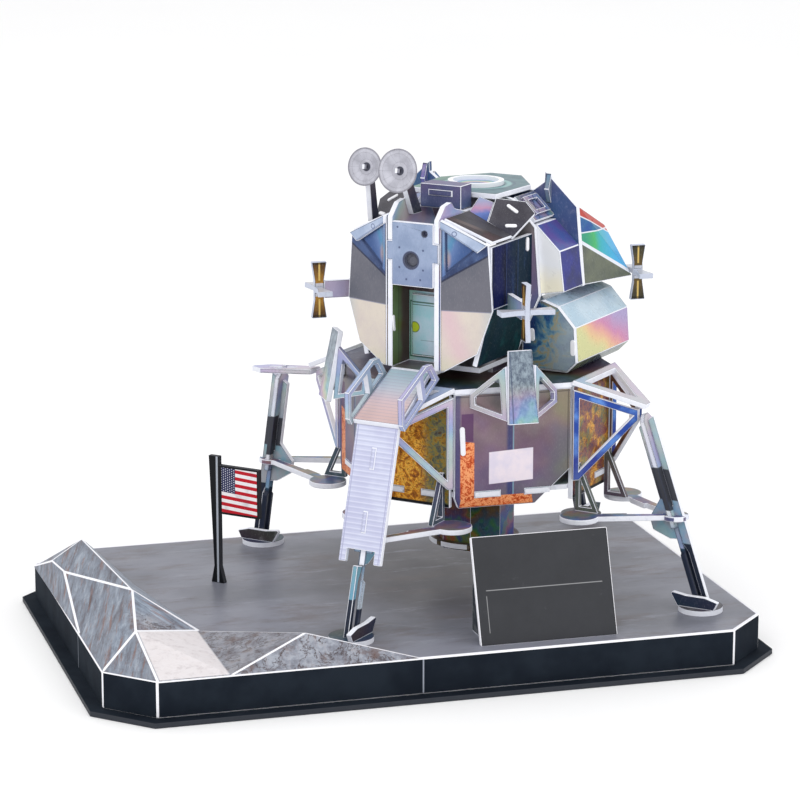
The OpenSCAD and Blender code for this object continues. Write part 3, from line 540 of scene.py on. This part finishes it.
def landing(name):
    """Porch board: cyan at the hatch fading to rose at the ladder, with fine lines across."""
    p = Print(name)
    p.colour = ramp(rise(p.u, 52, 82), (0.0, (150, 186, 200)), (0.3, (190, 202, 210)), (0.62, (212, 192, 194)),
                    (1.0, (208, 170, 172)))
    p.lay(p.sheen(24, 3.0), 0.12)
    across = op("FRACT", p.u / 1.5)
    p.lay((160, 152, 172), under(across, 0.2, 0.08) * 0.4)
    p.lay((90, 104, 140), line(p.w + (p.u - 53) * -0.056, 7.9, 0.3) * 0.6)
    return p.finish(p.grain(p.colour, 1.0, 0.08), 0.34, 0.15, across, 0.03)


def scoop(name):
    """Plume deflector: hammered steel foil, brighter at its foot, with one dark line up its left side."""
    p = Print(name)
    cloud = p.noise(1.3, 6, 2.0, along=(1, 1, 1.6), rough=0.72)
    p.colour = blend((92, 104, 120), (152, 166, 178), rise(cloud, 0.36, 0.64))
    p.lay(p.sheen(11, 5.0, 1.5), rise(p.h, 94, 80) * 0.6)
    p.lay((70, 82, 108), line(p.across, -4.0, 0.5) * 0.7)
    return p.finish(p.colour, 0.3, 0.3, cloud, 0.06)


# middles of round marks on the front panel, as v and h
PORT, PEEPHOLE = (-0.6, 137.0), (5.2, 147.6)
RIVETS = [(-5.6, 141.6), (-5.6, 134.0), (4.6, 141.2), (4.6, 133.6), (-2.6, 129.6), (3.4, 129.8), (-6.4, 149.4)]


def dot(p, middle, radius):
    """1 inside a circle on the front panel."""
    return under(away(p.v - middle[0], p.h - middle[1]), radius)


def cabin_front(name):
    """Front panel over the hatch: pale blue foil, a dark round port, seven rivets and a small hole."""
    p = Print(name)
    p.colour = p.wash((136, 152, 182), (162, 176, 204), 12, 2.0)
    p.lay((92, 106, 150), rise(p.h, 141, 127) * 0.35)
    p.lay((78, 84, 110), dot(p, PORT, 3.6))
    p.lay((70, 72, 84), dot(p, PORT, 3.0))
    p.lay((104, 106, 118), dot(p, (PORT[0] + 0.4, PORT[1] - 0.4), 1.6) * 0.5)
    p.lay((60, 70, 104), largest(*[dot(p, rivet, 0.42) for rivet in RIVETS]) * 0.8)
    p.lay((50, 54, 80), dot(p, PEEPHOLE, 1.25))
    return p.card(p.grain(p.colour, 3.0, 0.1), 0.36, 0.2)


def cheek_print_and_shadow(name):
    """Cheeks: graphite above, with a blue triangular window in a dark frame and a painted shadow along the
    frame's lower side, and beige and rose foil below.
    """
    p = Print(name)
    upper = p.wash((92, 94, 106), (108, 108, 118), 20, 3.0)
    frame_in = inside(p.w, p.h, [(10.0, 128.6), (29.6, 140.6), (31.0, 145), (10.0, 155)], 0.2)
    upper = blend(upper, p.wash((40, 56, 96), (66, 88, 132), 7, 4.0), frame_in * 0.95)
    # painted shadow: a dark band along the lower slanting side of the window's frame
    upper = blend(upper, (34, 40, 66), line((p.h - 128.6) * 0.85 - (p.w - 10) * 0.52, 0.0, 0.7) * 0.85)
    window = inside(p.w, p.h, [(12.4, 131.6), (25.4, 142.8), (12.4, 150.6)], 0.15)
    glass = ramp(rise(p.w + (150 - p.h) * 0.4, 13, 24), (0.0, (128, 150, 188)), (0.35, (84, 140, 178)),
                 (0.6, (96, 122, 170)), (1.0, (62, 90, 142)))
    glow = away(p.w - 14.0, (p.h - 138.5) * math.sqrt(0.12))
    glass = blend(glass, (206, 168, 140), rise(glow, 1.8, 0.2) * 0.5)
    upper = blend(upper, glass, window)
    lower = p.wash((204, 192, 188), (214, 204, 192), 14, 5.0)
    lower = blend(lower, (214, 176, 190), band(p.w + (p.h - 107) * 0.3, 14, 21, 4.0) * over(p.v, 0, 1) * 0.6)
    lower = blend(lower, (206, 206, 168), rise(p.h, 103, 97) * 0.35)
    lower = blend(lower, (176, 188, 194), rise(p.w, 25, 31) * 0.5)
    lower = blend(lower, (208, 196, 160), under(p.w, 11.5, 1.6) * 0.5)
    p.colour = blend(p.grain(lower, 2.0, 0.1), p.grain(upper, 5.0, 0.08), over(p.h, WAIST - 0.2, 0.15))
    p.lay((132, 134, 156), line(p.h, WAIST - 0.2, 0.4) * 0.7)
    return p.card(p.colour, 0.36, 0.12)


def brow_print(name):
    """Slanting boards over the windows: pale blue, one round mark and a border line."""
    p = Print(name)
    p.colour = p.wash((156, 172, 200), (186, 198, 220), 9, 2.0)
    ring = away(p.w - 17.5, p.h - 148.6)
    p.lay((90, 104, 144), band(ring, 0.65, 1.05, 0.1) * 0.8)
    edge = (p.h - 150.4) + (p.w - 11.6) * 0.63
    p.lay((96, 112, 152), line(edge, 0.9, 0.3) * 0.6)
    return p.card(p.grain(p.colour, 2.0, 0.1), 0.36, 0.2)


def rib_print(name):
    """Upright ribs beside the hatch: silver with rose and blue drifts; green and brown inside the doorway."""
    p = Print(name)
    p.colour = p.foil((176, 180, 206), 0.5, 2.0, 13)
    p.lay((222, 176, 190), band(p.h, 143, 153, 2.5) * over(p.v, 0, 1) * 0.55)
    doorway = under(p.w, 10, 0.3) * under(p.h, 127)
    inner = blend((96, 116, 66), (84, 60, 58), rise(p.u + p.noise(6, 3, 3.0) * 4, 49, 44))
    inner = blend(inner, (40, 36, 40), line(p.u, 46.0, 0.5) * 0.6)
    p.lay(inner, doorway)
    return p.card(p.colour, 0.36, 0.2)


def door_print(name):
    """Hatch: pale blue-green with two frame lines, one yellow-green disc and a dark brown soffit."""
    p = Print(name)
    p.colour = p.wash((158, 204, 216), (190, 208, 224), 8, 2.0)
    p.lay((150, 206, 172), rise(p.v + p.noise(5, 3, 5.0) * 5, -1.5, -5.5) * 0.6)
    p.lay((206, 206, 226), rise(p.v, 2.5, 6.5) * 0.6)
    a = abs(p.v)
    b = abs(p.h - HATCH_MIDDLE)
    frames = largest(line(op("MAXIMUM", a * 1.32, b), 10.8, 0.6), line(op("MAXIMUM", a * 1.34, b), 9.8, 0.35))
    p.lay((46, 92, 70), frames * 0.85)
    disc = away(p.v + 5.6, p.h - 108.6)
    p.lay((178, 196, 44), under(disc, 2.0))
    p.lay((84, 106, 44), band(disc, 1.8, 2.2, 0.1) * 0.8)
    marks = line(p.h, 103.6, 0.25) * band(p.v, -3, 4.6, 0.2)
    p.lay((100, 120, 130), marks * 0.6)
    p.lay(p.wash((96, 78, 78), (54, 44, 50), 6, 4.0), over(p.h, 122.5))
    return p.card(p.grain(p.colour, 1.0, 0.1), 0.36, 0.15)


def side_print(name):
    """Cabin side walls: navy drifting to dark teal, with faint upright panel lines."""
    p = Print(name)
    p.colour = blend((18, 26, 76), (18, 38, 54), rise(p.noise(16, 4, 2.0) * 30 - p.u, -24, -6))
    p.lay((14, 18, 32), rise(p.noise(6, 4, 5.0, along=(1, 1, 6)), 0.5, 0.66) * 0.7)
    p.lay((50, 74, 130), rise(p.noise(5, 5, 15.0, along=(1, 1, 5)), 0.58, 0.75) * 0.5)
    lines = largest(line(p.u, 22.0, 0.3), line(p.u, 31.5, 0.3)) * over(p.h, WAIST + 0.5)
    p.lay((70, 90, 146), lines * 0.6)
    teal = blend((18, 44, 50), (30, 84, 84), rise(p.noise(8, 4, 8.0), 0.5, 0.7) * 0.6)
    p.lay(teal, under(p.h, WAIST) * 0.85)
    return p.card(p.grain(p.colour, 1.0, 0.08), 0.55, 0.05, rim=(60, 70, 110), rim_share=0.5, gloss=0.06)


def shoulder_print(name):
    """Top boards beside the ribs: dark brown in front, greyer behind a slanting line."""
    p = Print(name)
    slant = p.u + p.w * 0.55
    back = p.wash((54, 52, 62), (38, 34, 42), 8, 2.0)
    p.colour = blend(back, p.wash((58, 28, 36), (32, 20, 28), 7, 3.0), over(slant, 50.5, 0.2))
    p.lay((118, 108, 104), band(slant, 50.5, 53.5, 0.4) * band(p.w, 15, 23, 3) * 0.5)
    return p.card(p.grain(p.colour, 3.0, 0.08), 0.32, 0.1, rim=(24, 22, 30), gloss=0.2)


def facet_print(name):
    """Facets behind the cabin's top: rose to blue beside the ribs, then graphite."""
    p = Print(name)
    drift = rise(p.h + p.noise(10, 3, 2.0) * 5, 151, 160)
    first = ramp(drift, (0.0, (52, 78, 138)), (0.4, (96, 116, 178)), (0.7, (182, 138, 168)),
                 (1.0, (150, 160, 192)))
    wedge = over(p.w * 1.3 + p.u * 0.8, 47.5, 0.3)
    first = blend(first, (42, 66, 118), wedge * 0.7)
    second = p.wash((62, 60, 68), (80, 78, 86), 12, 5.0)
    second = blend(second, (38, 40, 56), rise(p.h, 152, 147) * 0.5)
    colour = blend(first, second, over(p.w + (p.u - 24) * -0.12, 19.4, 0.25))
    return p.card(p.grain(colour, 3.0, 0.08), 0.32, 0.12, rim=(26, 28, 38), gloss=0.2)


def bay_roof_print(name):
    """Sloping boards over the side bays: teal-grey foil with crossing dark lines."""
    p = Print(name)
    p.colour = blend((92, 116, 140), p.sheen(9, 3.0, 1.8), 0.4)
    a, b = p.u + 0.5, p.w - 25.4
    cross = largest(line(a - b * 0.9, 0.0, 0.6), line(a + b * 0.9, 0.0, 0.6))
    p.lay((36, 54, 92), cross * 0.85)
    p.lay((30, 48, 92), under(b, -2.2, 0.2) * 0.6)
    return p.card(p.grain(p.colour), 0.32, 0.2)


def roof_print(name):
    """Roof: deep teal, with rainbow rings round the docking ring."""
    p = Print(name)
    r = away(p.x, p.y)
    p.colour = p.wash((36, 82, 96), (74, 116, 126), 9, 2.0)
    p.lay((92, 140, 112), rise(p.v + p.noise(12, 3, 6.0) * 12, 4, -10) * 0.6)
    rings = ramp(op("FRACT", r / 7 + p.noise(16, 2, 3.0) * 0.8), *RAINBOW)
    p.lay(rings, under(r, 9.4) * 0.8)
    p.lay((150, 200, 196), band(r, 12.0, 14.0, 0.5) * 0.6)
    p.lay((30, 66, 96), band(r, 14.6, 15.6, 0.3) * 0.6)
    p.lay((60, 110, 130), under(r, 3.4, 0.2) * 0.55)
    return p.card(p.grain(p.colour), 0.32, 0.2)


def side_bay_print(name):
    """Side bays: cream in front, purple on the slope, bright navy at the side."""
    p = Print(name)
    cream = blend((252, 246, 224), (246, 248, 252), rise(p.h + p.noise(9, 3, 2.0) * 6, 126, 136))
    purple = p.wash((88, 74, 146), (64, 84, 150), 6, 3.0)
    navy = p.wash((24, 34, 132), (16, 24, 92), 9, 4.0)
    slope = over(p.nz, 0.3, 0.05)
    colour = blend(navy, purple, slope)
    colour = blend(p.grain(colour, 3.0, 0.1), cream, over(p.nu, 0.7, 0.05))
    return p.card(colour, 0.3, 0.08, rim=(110, 120, 150), rim_share=0.5)


def tank_print(name):
    """Propellant boxes: swirled blue and olive foil in front, a pale top, and a side from yellow to rose."""
    p = Print(name)
    swirl = p.noise(9, 4, 2.0, warp=1.2) + (p.w - 34) * 0.012
    front = ramp(swirl, (0.3, (34, 60, 124)), (0.4, (56, 112, 152)), (0.46, (122, 156, 164)),
                 (0.51, (166, 150, 104)), (0.56, (126, 154, 168)), (0.64, (92, 128, 160)),
                 (0.74, (72, 92, 142)))
    front = blend(front, (164, 176, 182), rise(p.w + (110 - p.h) * 0.25, 37, 46) * 0.7)
    front = blend(front, (24, 46, 84), rise(p.w - (p.h - 100) * 0.3, 34, 26) * 0.75)
    top = p.wash((176, 200, 216), (196, 214, 226), 12, 3.0)
    run = rise((p.u + 22) * -0.5 + (p.h - 100) * 0.9 + p.noise(12, 3, 4.0) * 8, -6, 16)
    side = ramp(run, (0.0, (206, 206, 148)), (0.14, (224, 192, 140)), (0.34, (222, 160, 146)),
                (0.6, (198, 128, 168)), (1.0, (164, 150, 194)))
    below = p.wash((116, 128, 104), (78, 90, 112), 9, 5.0)
    p.colour = blend(side, top, over(p.nz, 0.45, 0.05))
    p.lay(below, under(p.nz, -0.3, 0.05))
    p.lay(front, over(abs(p.nu), 0.8, 0.05))
    return p.card(p.grain(p.colour, 2.0, 0.1), 0.28, 0.15)


def aft_print(name):
    """Aft bay. On each side, from the top: red, blue, green running to cyan, a white line and olive."""
    p = Print(name)
    s = p.u * -1.0           # distance behind the middle
    # heights measured from three lines that slope down towards the back
    red, blue, white = p.h + (s - 13) * 0.42, p.h + (s - 12.6) * 0.06, p.h + (s - 12.9) * 0.5
    green = ramp(rise(s + p.noise(6, 3, 2.0) * 4, 14, 42), (0.0, (44, 150, 120)), (0.2, (70, 176, 104)),
                 (0.42, (56, 172, 184)), (1.0, (70, 168, 224)))
    olive = p.wash((106, 112, 94), (86, 92, 84), 10, 3.0)
    p.colour = blend(olive, green, over(white, 137.0))
    p.lay(p.wash((28, 74, 150), (40, 112, 150), 8, 4.0), over(blue, 141.0))
    p.lay((186, 66, 56), over(red, 147.0) * under(red, 156))
    seam = largest(line(white, 136.6, 1.5), line(blue, 141.0, 0.5), line(red, 147.0, 0.5))
    p.lay((226, 230, 240), seam)
    back = blend((60, 56, 88), p.sheen(16, 2.0, 1.5, table=DEEP), 0.4)
    p.lay(back, under(abs(p.nv), 0.35, 0.05))
    return p.card(p.grain(p.colour, 2.0, 0.1), 0.3, 0.15)


JET_LEVEL, JET_REACH = 120.4, 63.6      # the front crosses' height above the deck and distance from the axis


def jet_print(name):
    """Thruster crosses: gold running to brown, a bright line down each nozzle and dark mouths."""
    p = Print(name)
    d = abs(p.h - JET_LEVEL)
    p.colour = blend((186, 136, 48), (84, 56, 24), rise(p.noise(3, 3, 2.0) * 6 + d, 3, 13))
    rear = over(p.x + p.y, 0, 5)
    p.lay((48, 56, 44), rear * 0.75)
    axis = JET_REACH + rear * 4.0
    p.lay((230, 196, 112), line(away(p.x, p.y) - axis, 0.0, 0.7) * over(d, 3.6) * 0.8)
    p.lay((206, 212, 226), under(d, 2.6, 0.2) * 0.85)
    p.lay((30, 26, 22), over(d, 9.9, 0.15) * 0.7)
    return p.card(p.grain(p.colour), 0.3, 0.3)


DISHES = ((45, -8.6, 169.6), (36, -28.2, 168.4))        # the dishes' centres, as u, v and h


def dish_print(name):
    """Dish antennas: lilac-grey with fine spokes, a dark rim and a dark hub."""
    p = Print(name)
    p.colour = p.wash((172, 172, 182), (194, 194, 204), 4, 2.0)
    for u, v, h in DISHES:
        dv, dh = p.v - v, p.h - h
        r = away(p.u - u, dv, dh)
        spokes = abs(op("SINE", op("ARCTAN2", dh, dv) * 6.0))
        near = under(r, 10)
        p.lay((136, 136, 150), under(spokes, 0.07, 0.05) * near * over(r, 2.2) * 0.45)
        p.lay((70, 72, 86), under(r, 1.9) * near)
    return p.finish(p.colour, 0.42, 0.1, p.noise(0.6, 3), 0.01, rim=(96, 94, 104), rim_share=0.6)


# ---------- faces ----------

def add_object(name, data):
    """A new object at the origin."""
    obj = bpy.data.objects.new(name, data)
    bpy.context.scene.collection.objects.link(obj)
    return obj


def round_corners(obj, width, method):
    """Cuts a flat strip of that width, in the second material, along each fold that method picks."""
    soften = obj.modifiers.new("corners", "BEVEL")
    soften.width = width * MM
    soften.segments = 1
    soften.limit_method = method
    soften.angle_limit = math.radians(24)
    soften.use_clamp_overlap = False
    soften.material = 1


EDGE = foam_edge("foam_edge")
DARK_EDGE = foam_edge("dark_edge", (44, 48, 56), (26, 30, 36))
FOLD = foam_edge("fold_edge", (244, 244, 249), (214, 216, 226))


def recess_edge(name, dark, where):
    """A board's cut edges: pale foam round the outline, and dark print where where gives 1."""
    p = Print(name)
    foam = blend((236, 238, 246), (184, 190, 210), rise(p.noise(1.6, 4, 2.0), 0.5, 0.8) * 0.3)
    return p.finish(blend(foam, dark, where(p)), 0.6, 0.0, p.noise(0.4, 2), 0.05, rim=None)


def in_window(p):
    """1 on the walls of a cheek's window."""
    return inside(p.w, p.h, [(13.0, 131.8), (26.6, 142.7), (12.8, 151.0)], 0.1)


def in_ports(p):
    """1 on the walls of the round port and the small hole."""
    return largest(dot(p, PORT, 4.4), dot(p, PEEPHOLE, 2.2))


START, FAR = 2e-5, 0.05          # a ray's start under the surface and its reach, metres
SAME_PLANE = 0.3 * MM            # triangles of one direction in planes closer than this vote together


def sort_faces(obj):
    """1 for each triangle of a cut edge and 0 for paper. A ray goes into the board from each triangle's middle:
    behind paper the other paper face is one board away. Triangles in one plane then vote by area."""
    mesh = obj.data
    tree = BVHTree.FromPolygons([v.co for v in mesh.vertices], [p.vertices for p in mesh.polygons])
    votes, plane_of = {}, []
    for face in mesh.polygons:
        n = face.normal
        depth = tree.ray_cast(face.center - n * START, -n, FAR)[3]
        cut = depth is None or depth > 1.2 * BOARD * MM
        key = (round(n.x, 1), round(n.y, 1), round(n.z, 1), round(face.center.dot(n) / SAME_PLANE))
        plane_of.append(key)
        votes[key] = votes.get(key, 0) + (face.area if cut else -face.area)
    return np.array([votes[key] > 0 for key in plane_of], np.int32)


def cover(name, paper, edge=None, all_paper=False, bevel=0.22):
    """Gives a CAD node its print and cut edges, and bevels its corners, so that pale board shows at folds."""
    obj = nodes[name]
    mesh = obj.data
    cut = np.zeros(len(mesh.polygons), np.int32) if all_paper else sort_faces(obj)
    mesh.materials.clear()
    mesh.materials.append(paper)
    mesh.materials.append(edge or EDGE)
    mesh.polygons.foreach_set("material_index", cut)
    if bevel:
        if "custom_normal" in mesh.attributes:
            mesh.attributes.remove(mesh.attributes["custom_normal"])
        mesh.polygons.foreach_set("use_smooth", np.zeros(len(mesh.polygons), bool))
        weld = obj.modifiers.new("weld", "WELD")
        weld.merge_threshold = JOIN
        round_corners(obj, bevel, "ANGLE")


SEAM = 0.55                      # half the width of a stone's pale seam, mm
SEAM_TURN = math.radians(9)      # a sharper fold than this has a seam


def seamed_stone(name, node, plain_folds=(), extra_folds=()):
    """A merged copy of a stone with a pale seam along its folds. A fold sharper than SEAM_TURN has one unless
    its two ends are in plain_folds, and those in extra_folds have one too."""
    mesh = bpy.data.meshes.new(name)
    form = bmesh.new()
    form.from_mesh(nodes[node].data)
    bmesh.ops.remove_doubles(form, verts=form.verts, dist=JOIN)
    weight = form.edges.layers.float.new("bevel_weight_edge")
    for edge in form.edges:
        ends = {tuple(round(c / MM) for c in v.co) for v in edge.verts}
        seam = edge.calc_face_angle(0) > SEAM_TURN and max(end[2] for end in ends) > DECK
        edge[weight] = float((seam and ends not in plain_folds) or ends in extra_folds)
    for face in form.faces:
        face.material_index = 0
        face.smooth = False
    form.to_mesh(mesh)
    form.free()
    mesh.materials.append(ROCK)
    mesh.materials.append(FOLD)
    obj = add_object(name, mesh)
    round_corners(obj, SEAM, "WEIGHT")
    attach(obj, "root")
    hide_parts(node)


# corners of the left stone, in whole millimetres
CORNER, CREST, KNEE, TOE = (-167, -81, 16), (-145, -28, 30), (-150, -58, 23), (-123, -98, 16)
HEEL, SPUR, BROW = (-167, -33, 16), (-163, 45, 22), (-162, 24, 24)
BLACK = black_board("black_board")
SILVER = plain("silver_foil", (156, 168, 192), 0.4, 1.0)
LILAC = plain("lilac_foil", (182, 186, 212), 0.36, 2.0)
SHADE = plain("graphite_print", (58, 60, 70), 0.12, 4.0)
ROCK = rock("rock_print")

cover("base_floor", BLACK, DARK_EDGE)
cover("base_walls", BLACK, FOLD, bevel=0.5)
cover("base_deck", ground("ground_print"), FOLD)
seamed_stone("rock_left_stone", "rock_left", [{CORNER, CREST}, {HEEL, SPUR}, {KNEE, TOE}],
             [{CORNER, KNEE}, {BROW, CREST}])
seamed_stone("rock_front_stone", "rock_front")
cover("plaque", charcoal("charcoal_print"), FOLD, bevel=0.3)
cover("plaque_prop", plain("prop_print", (20, 24, 30), 0.03, 5.0, metal=0.0, gloss=0.12, rim=None))
cover("flag", banner("flag_print"), foam_edge("rim_edge", (44, 46, 52), (24, 26, 30)), bevel=0.15)
cover("stage_floor", SILVER)
cover("stage_top", plain("stage_top_print", (52, 54, 66), 0.2, 2.0, DEEP))
cover("stage_quads", quadrant("violet_foil"))
cover("stage_bays", amber("amber_foil"))
cover("nozzle", bell("rainbow_foil"), all_paper=True)
cover("nozzle_ring", plain("brown_print", (70, 56, 50), 0.2, 6.0, DEEP), bevel=0)
cover("outriggers", outrigger_print("blue_foil"))
cover("outrigger_tops", LILAC)
cover("left_wing", LILAC)
cover("leg_radial", strut("strut_foil"))
cover("leg_cross", leg_sides("strut_block_foil"), leg_sides("strut_block_edge", (226, 230, 240), 0.1))
cover("leg_braces", brace_print("brace_print"))
cover("leg_brackets", SHADE)
cover("pads", plain("pad_print", (30, 42, 60), 0.08, 2.0, metal=0.0, gloss=0.15), bevel=0)
cover("pad_dishes", plain("pad_dish_print", (20, 28, 40), 0.06, 3.0, metal=0.0, gloss=0.15))
cover("porch", landing("porch_foil"))
cover("ladder", tread("ladder_print"))
cover("handrails", LILAC)
cover("deflector_plates", scoop("steel_foil"))
cover("deflector_frames", SILVER)
cover("cabin_floor", SHADE)
cover("cabin_panel", cabin_front("panel_print"), recess_edge("port_edge", (86, 90, 108), in_ports))
cover("cabin_ribs", rib_print("rib_foil"))
cover("hatch", door_print("hatch_foil"), all_paper=True)
cover("cabin_cheeks", cheek_print_and_shadow("cheek_print_and_shadow"), recess_edge("window_edge", (58, 74, 112), in_window),
      bevel=0.28)
cover("cabin_brows", brow_print("brow_print"))
cover("cabin_sides", side_print("side_foil"))
cover("cabin_shoulders", shoulder_print("umber_foil"), bevel=0.28)
cover("cabin_facets", facet_print("facet_foil"))
cover("mid_shoulders", bay_roof_print("bay_roof_foil"))
cover("roof", roof_print("teal_foil"))
cover("roof_ring", FOLD, FOLD, all_paper=True, bevel=0)
cover("roof_box", plain("roof_box_print", (58, 62, 94), 0.2, 3.0))
cover("bulkhead_mid", plain("bulkhead_print", (88, 96, 124), 0.3, 5.0))
cover("bulkhead_aft", plain("aft_board_print", (40, 74, 118), 0.12, 7.0))
cover("side_bays", side_bay_print("bay_foil"), bevel=0.3)
cover("tank_boxes", tank_print("gold_foil"), bevel=0.75)
cover("aft_fairings", aft_print("aft_foil"), FOLD, all_paper=True, bevel=0.3)
cover("aft_fins", plain("fin_foil", (44, 78, 150), 0.3, 3.0))
cover("thrusters", jet_print("jet_foil"), foam_edge("jet_edge", (196, 202, 218), (112, 120, 144)))
cover("thruster_arms", SILVER)
cover("dish_masts", plain("mast_print", (46, 46, 54), 0.06, 1.0))
cover("dishes", dish_print("dish_print"), bevel=0)


# ---------- tab ends ----------

SLIM = 0.7                       # half width of a tab sanded thinner than its board, mm
# where tabs of hidden boards come through, in mm: start, end, outward direction and half width
TABS = [((0.1, -36.8, 164.5), (4.6, -37.7, 164.4), (-0.15, -0.71, 0.69), SLIM),
        ((2.9, -30.6, 171.4), (6.2, -33.9, 168.7), (-0.15, -0.71, 0.69), SLIM),
        ((10.8, -31.4, 158.8), (10.8, -31.4, 153.3), (0.71, -0.71, 0.0), BOARD / 2),
        ((14.9, -26.1, 121.8), (15.2, -26.4, 116.7), (-0.71, -0.71, 0.0), BOARD / 2),
        ((27.4, -38.6, 118.9), (27.5, -38.7, 112.6), (-0.71, -0.71, 0.0), BOARD / 2),
        ((-20.4, -49.0, 90.1), (-19.9, -49.0, 78.7), (0.0, -1.0, 0.0), BOARD / 2),
        ((-42.0, -29.1, 130.9), (-41.5, -28.7, 124.5), (0.71, -0.71, 0.0), SLIM)]
TWINS = 6                        # the first so many have a twin across the lander's middle


def unit(vectors):
    """Each row divided by its length."""
    return vectors / np.linalg.norm(vectors, axis=1, keepdims=True)


def tab_ends(name, sunk=0.3, stand=0.5, lip=0.16):
    """Each tab end is a stadium in three rings. A ring is two half circles, middle + radius x (cos turn x way +
    sin turn x side), joined along the tab. The first is sunk in the board, the second rises to lip under the
    height stand, and the third is drawn in by lip at that height. All the tabs are worked out at once."""
    start, end, out = (np.array([row[i] for row in TABS], float) for i in range(3))
    half = np.array([row[3] for row in TABS])
    swap = [1, 0, 2]             # a twin has x and y exchanged
    start, end, out = (np.concatenate([a, a[:TWINS][:, swap]]) for a in (start, end, out))
    half = np.concatenate([half, half[:TWINS]])[:, None]
    way = unit(end - start)
    out = unit(out - way * (out * way).sum(1, keepdims=True))
    side = np.cross(out, way)
    turn = np.radians(np.concatenate([np.linspace(-90, 90, 7), np.linspace(90, 270, 7)]))
    count = len(turn)
    near_end = (np.arange(count) < count // 2)[None, :, None]
    middle = np.where(near_end, (end - way * half)[:, None], (start + way * half)[:, None])
    spoke = np.cos(turn)[None, :, None] * way[:, None] + np.sin(turn)[None, :, None] * side[:, None]
    rings = [middle + radius[:, None] * spoke + height * out[:, None]
             for radius, height in ((half, -sunk), (half, stand - lip), (half - lip, stand))]
    points = np.stack(rings, 1).reshape(-1, 3)
    here = np.arange(count)
    wall = np.stack([here, np.roll(here, -1), np.roll(here, -1) + count, here + count], 1)
    first = np.arange(len(way))[:, None] * 3 * count
    walls = (first[:, :, None] + np.concatenate([wall, wall + count])).reshape(-1, 4)
    faces = walls.tolist() + (first + here + 2 * count).tolist() + (first + here[::-1]).tolist()
    mesh = bpy.data.meshes.new(name)
    mesh.from_pydata((points * MM).tolist(), [], faces)
    mesh.materials.append(FOLD)
    obj = add_object(name, mesh)
    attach(obj, "root")


tab_ends("tab_ends")

# ---------- camera, light and floor ----------

LENS = 142.26                            # mm, behind a frame 36 mm wide
CAMERA_PLACE = (-0.3657, -1.1638, 0.3781)
CAMERA_DOWN, CAMERA_TURN = 13.375, -16.053       # degrees below level, and round from looking along y

camera = add_object("camera", bpy.data.cameras.new("camera"))
camera.data.sensor_width = 36
camera.data.lens = LENS
camera.data.clip_end = 20
camera.location = CAMERA_PLACE
camera.rotation_euler = (math.radians(90 - CAMERA_DOWN), 0, math.radians(CAMERA_TURN))
bpy.context.scene.camera = camera


def lamp(name, place, aim, size, power, tint=(1, 1, 1)):
    """A square soft light at place, turned to aim. Size in metres and power in watts."""
    light = bpy.data.lights.new(name, "AREA")
    light.size, light.energy, light.color = size, power, tint
    obj = add_object(name, light)
    obj.location = place
    way = np.array(aim) - np.array(place)
    obj.rotation_euler = (math.atan2(math.hypot(way[0], way[1]), -way[2]), 0, math.atan2(-way[0], way[1]))


lamp("key", (-0.9, -1.1, 1.3), (0, 0, 0.08), 0.9, 6)
lamp("fill", (1.2, -0.9, 0.8), (0, 0, 0.08), 1.2, 2.5, (0.96, 0.98, 1))
lamp("top", (0.1, 0.5, 1.6), (0, 0, 0.1), 1.2, 2)

world = bpy.data.worlds.new("world")
bpy.context.scene.world = world
world.use_nodes = True
sky = world.node_tree.nodes["Background"]
sky.inputs["Color"].default_value = (1, 1, 1, 1)
sky.inputs["Strength"].default_value = 1.0
bpy.context.scene.view_settings.view_transform = "Standard"

floor_mesh = bpy.data.meshes.new("floor")
floor_mesh.from_pydata([(-4, -4, 0), (4, -4, 0), (4, 4, 0), (-4, 4, 0)], [], [(0, 1, 2, 3)])
floor = add_object("floor", floor_mesh)
pale = Print("pale_floor")
paper = blend((253, 253, 253), (249, 249, 250), pale.noise(300, 2))
floor_mesh.materials.append(pale.finish(paper, 0.7, 0.0, rim=None))
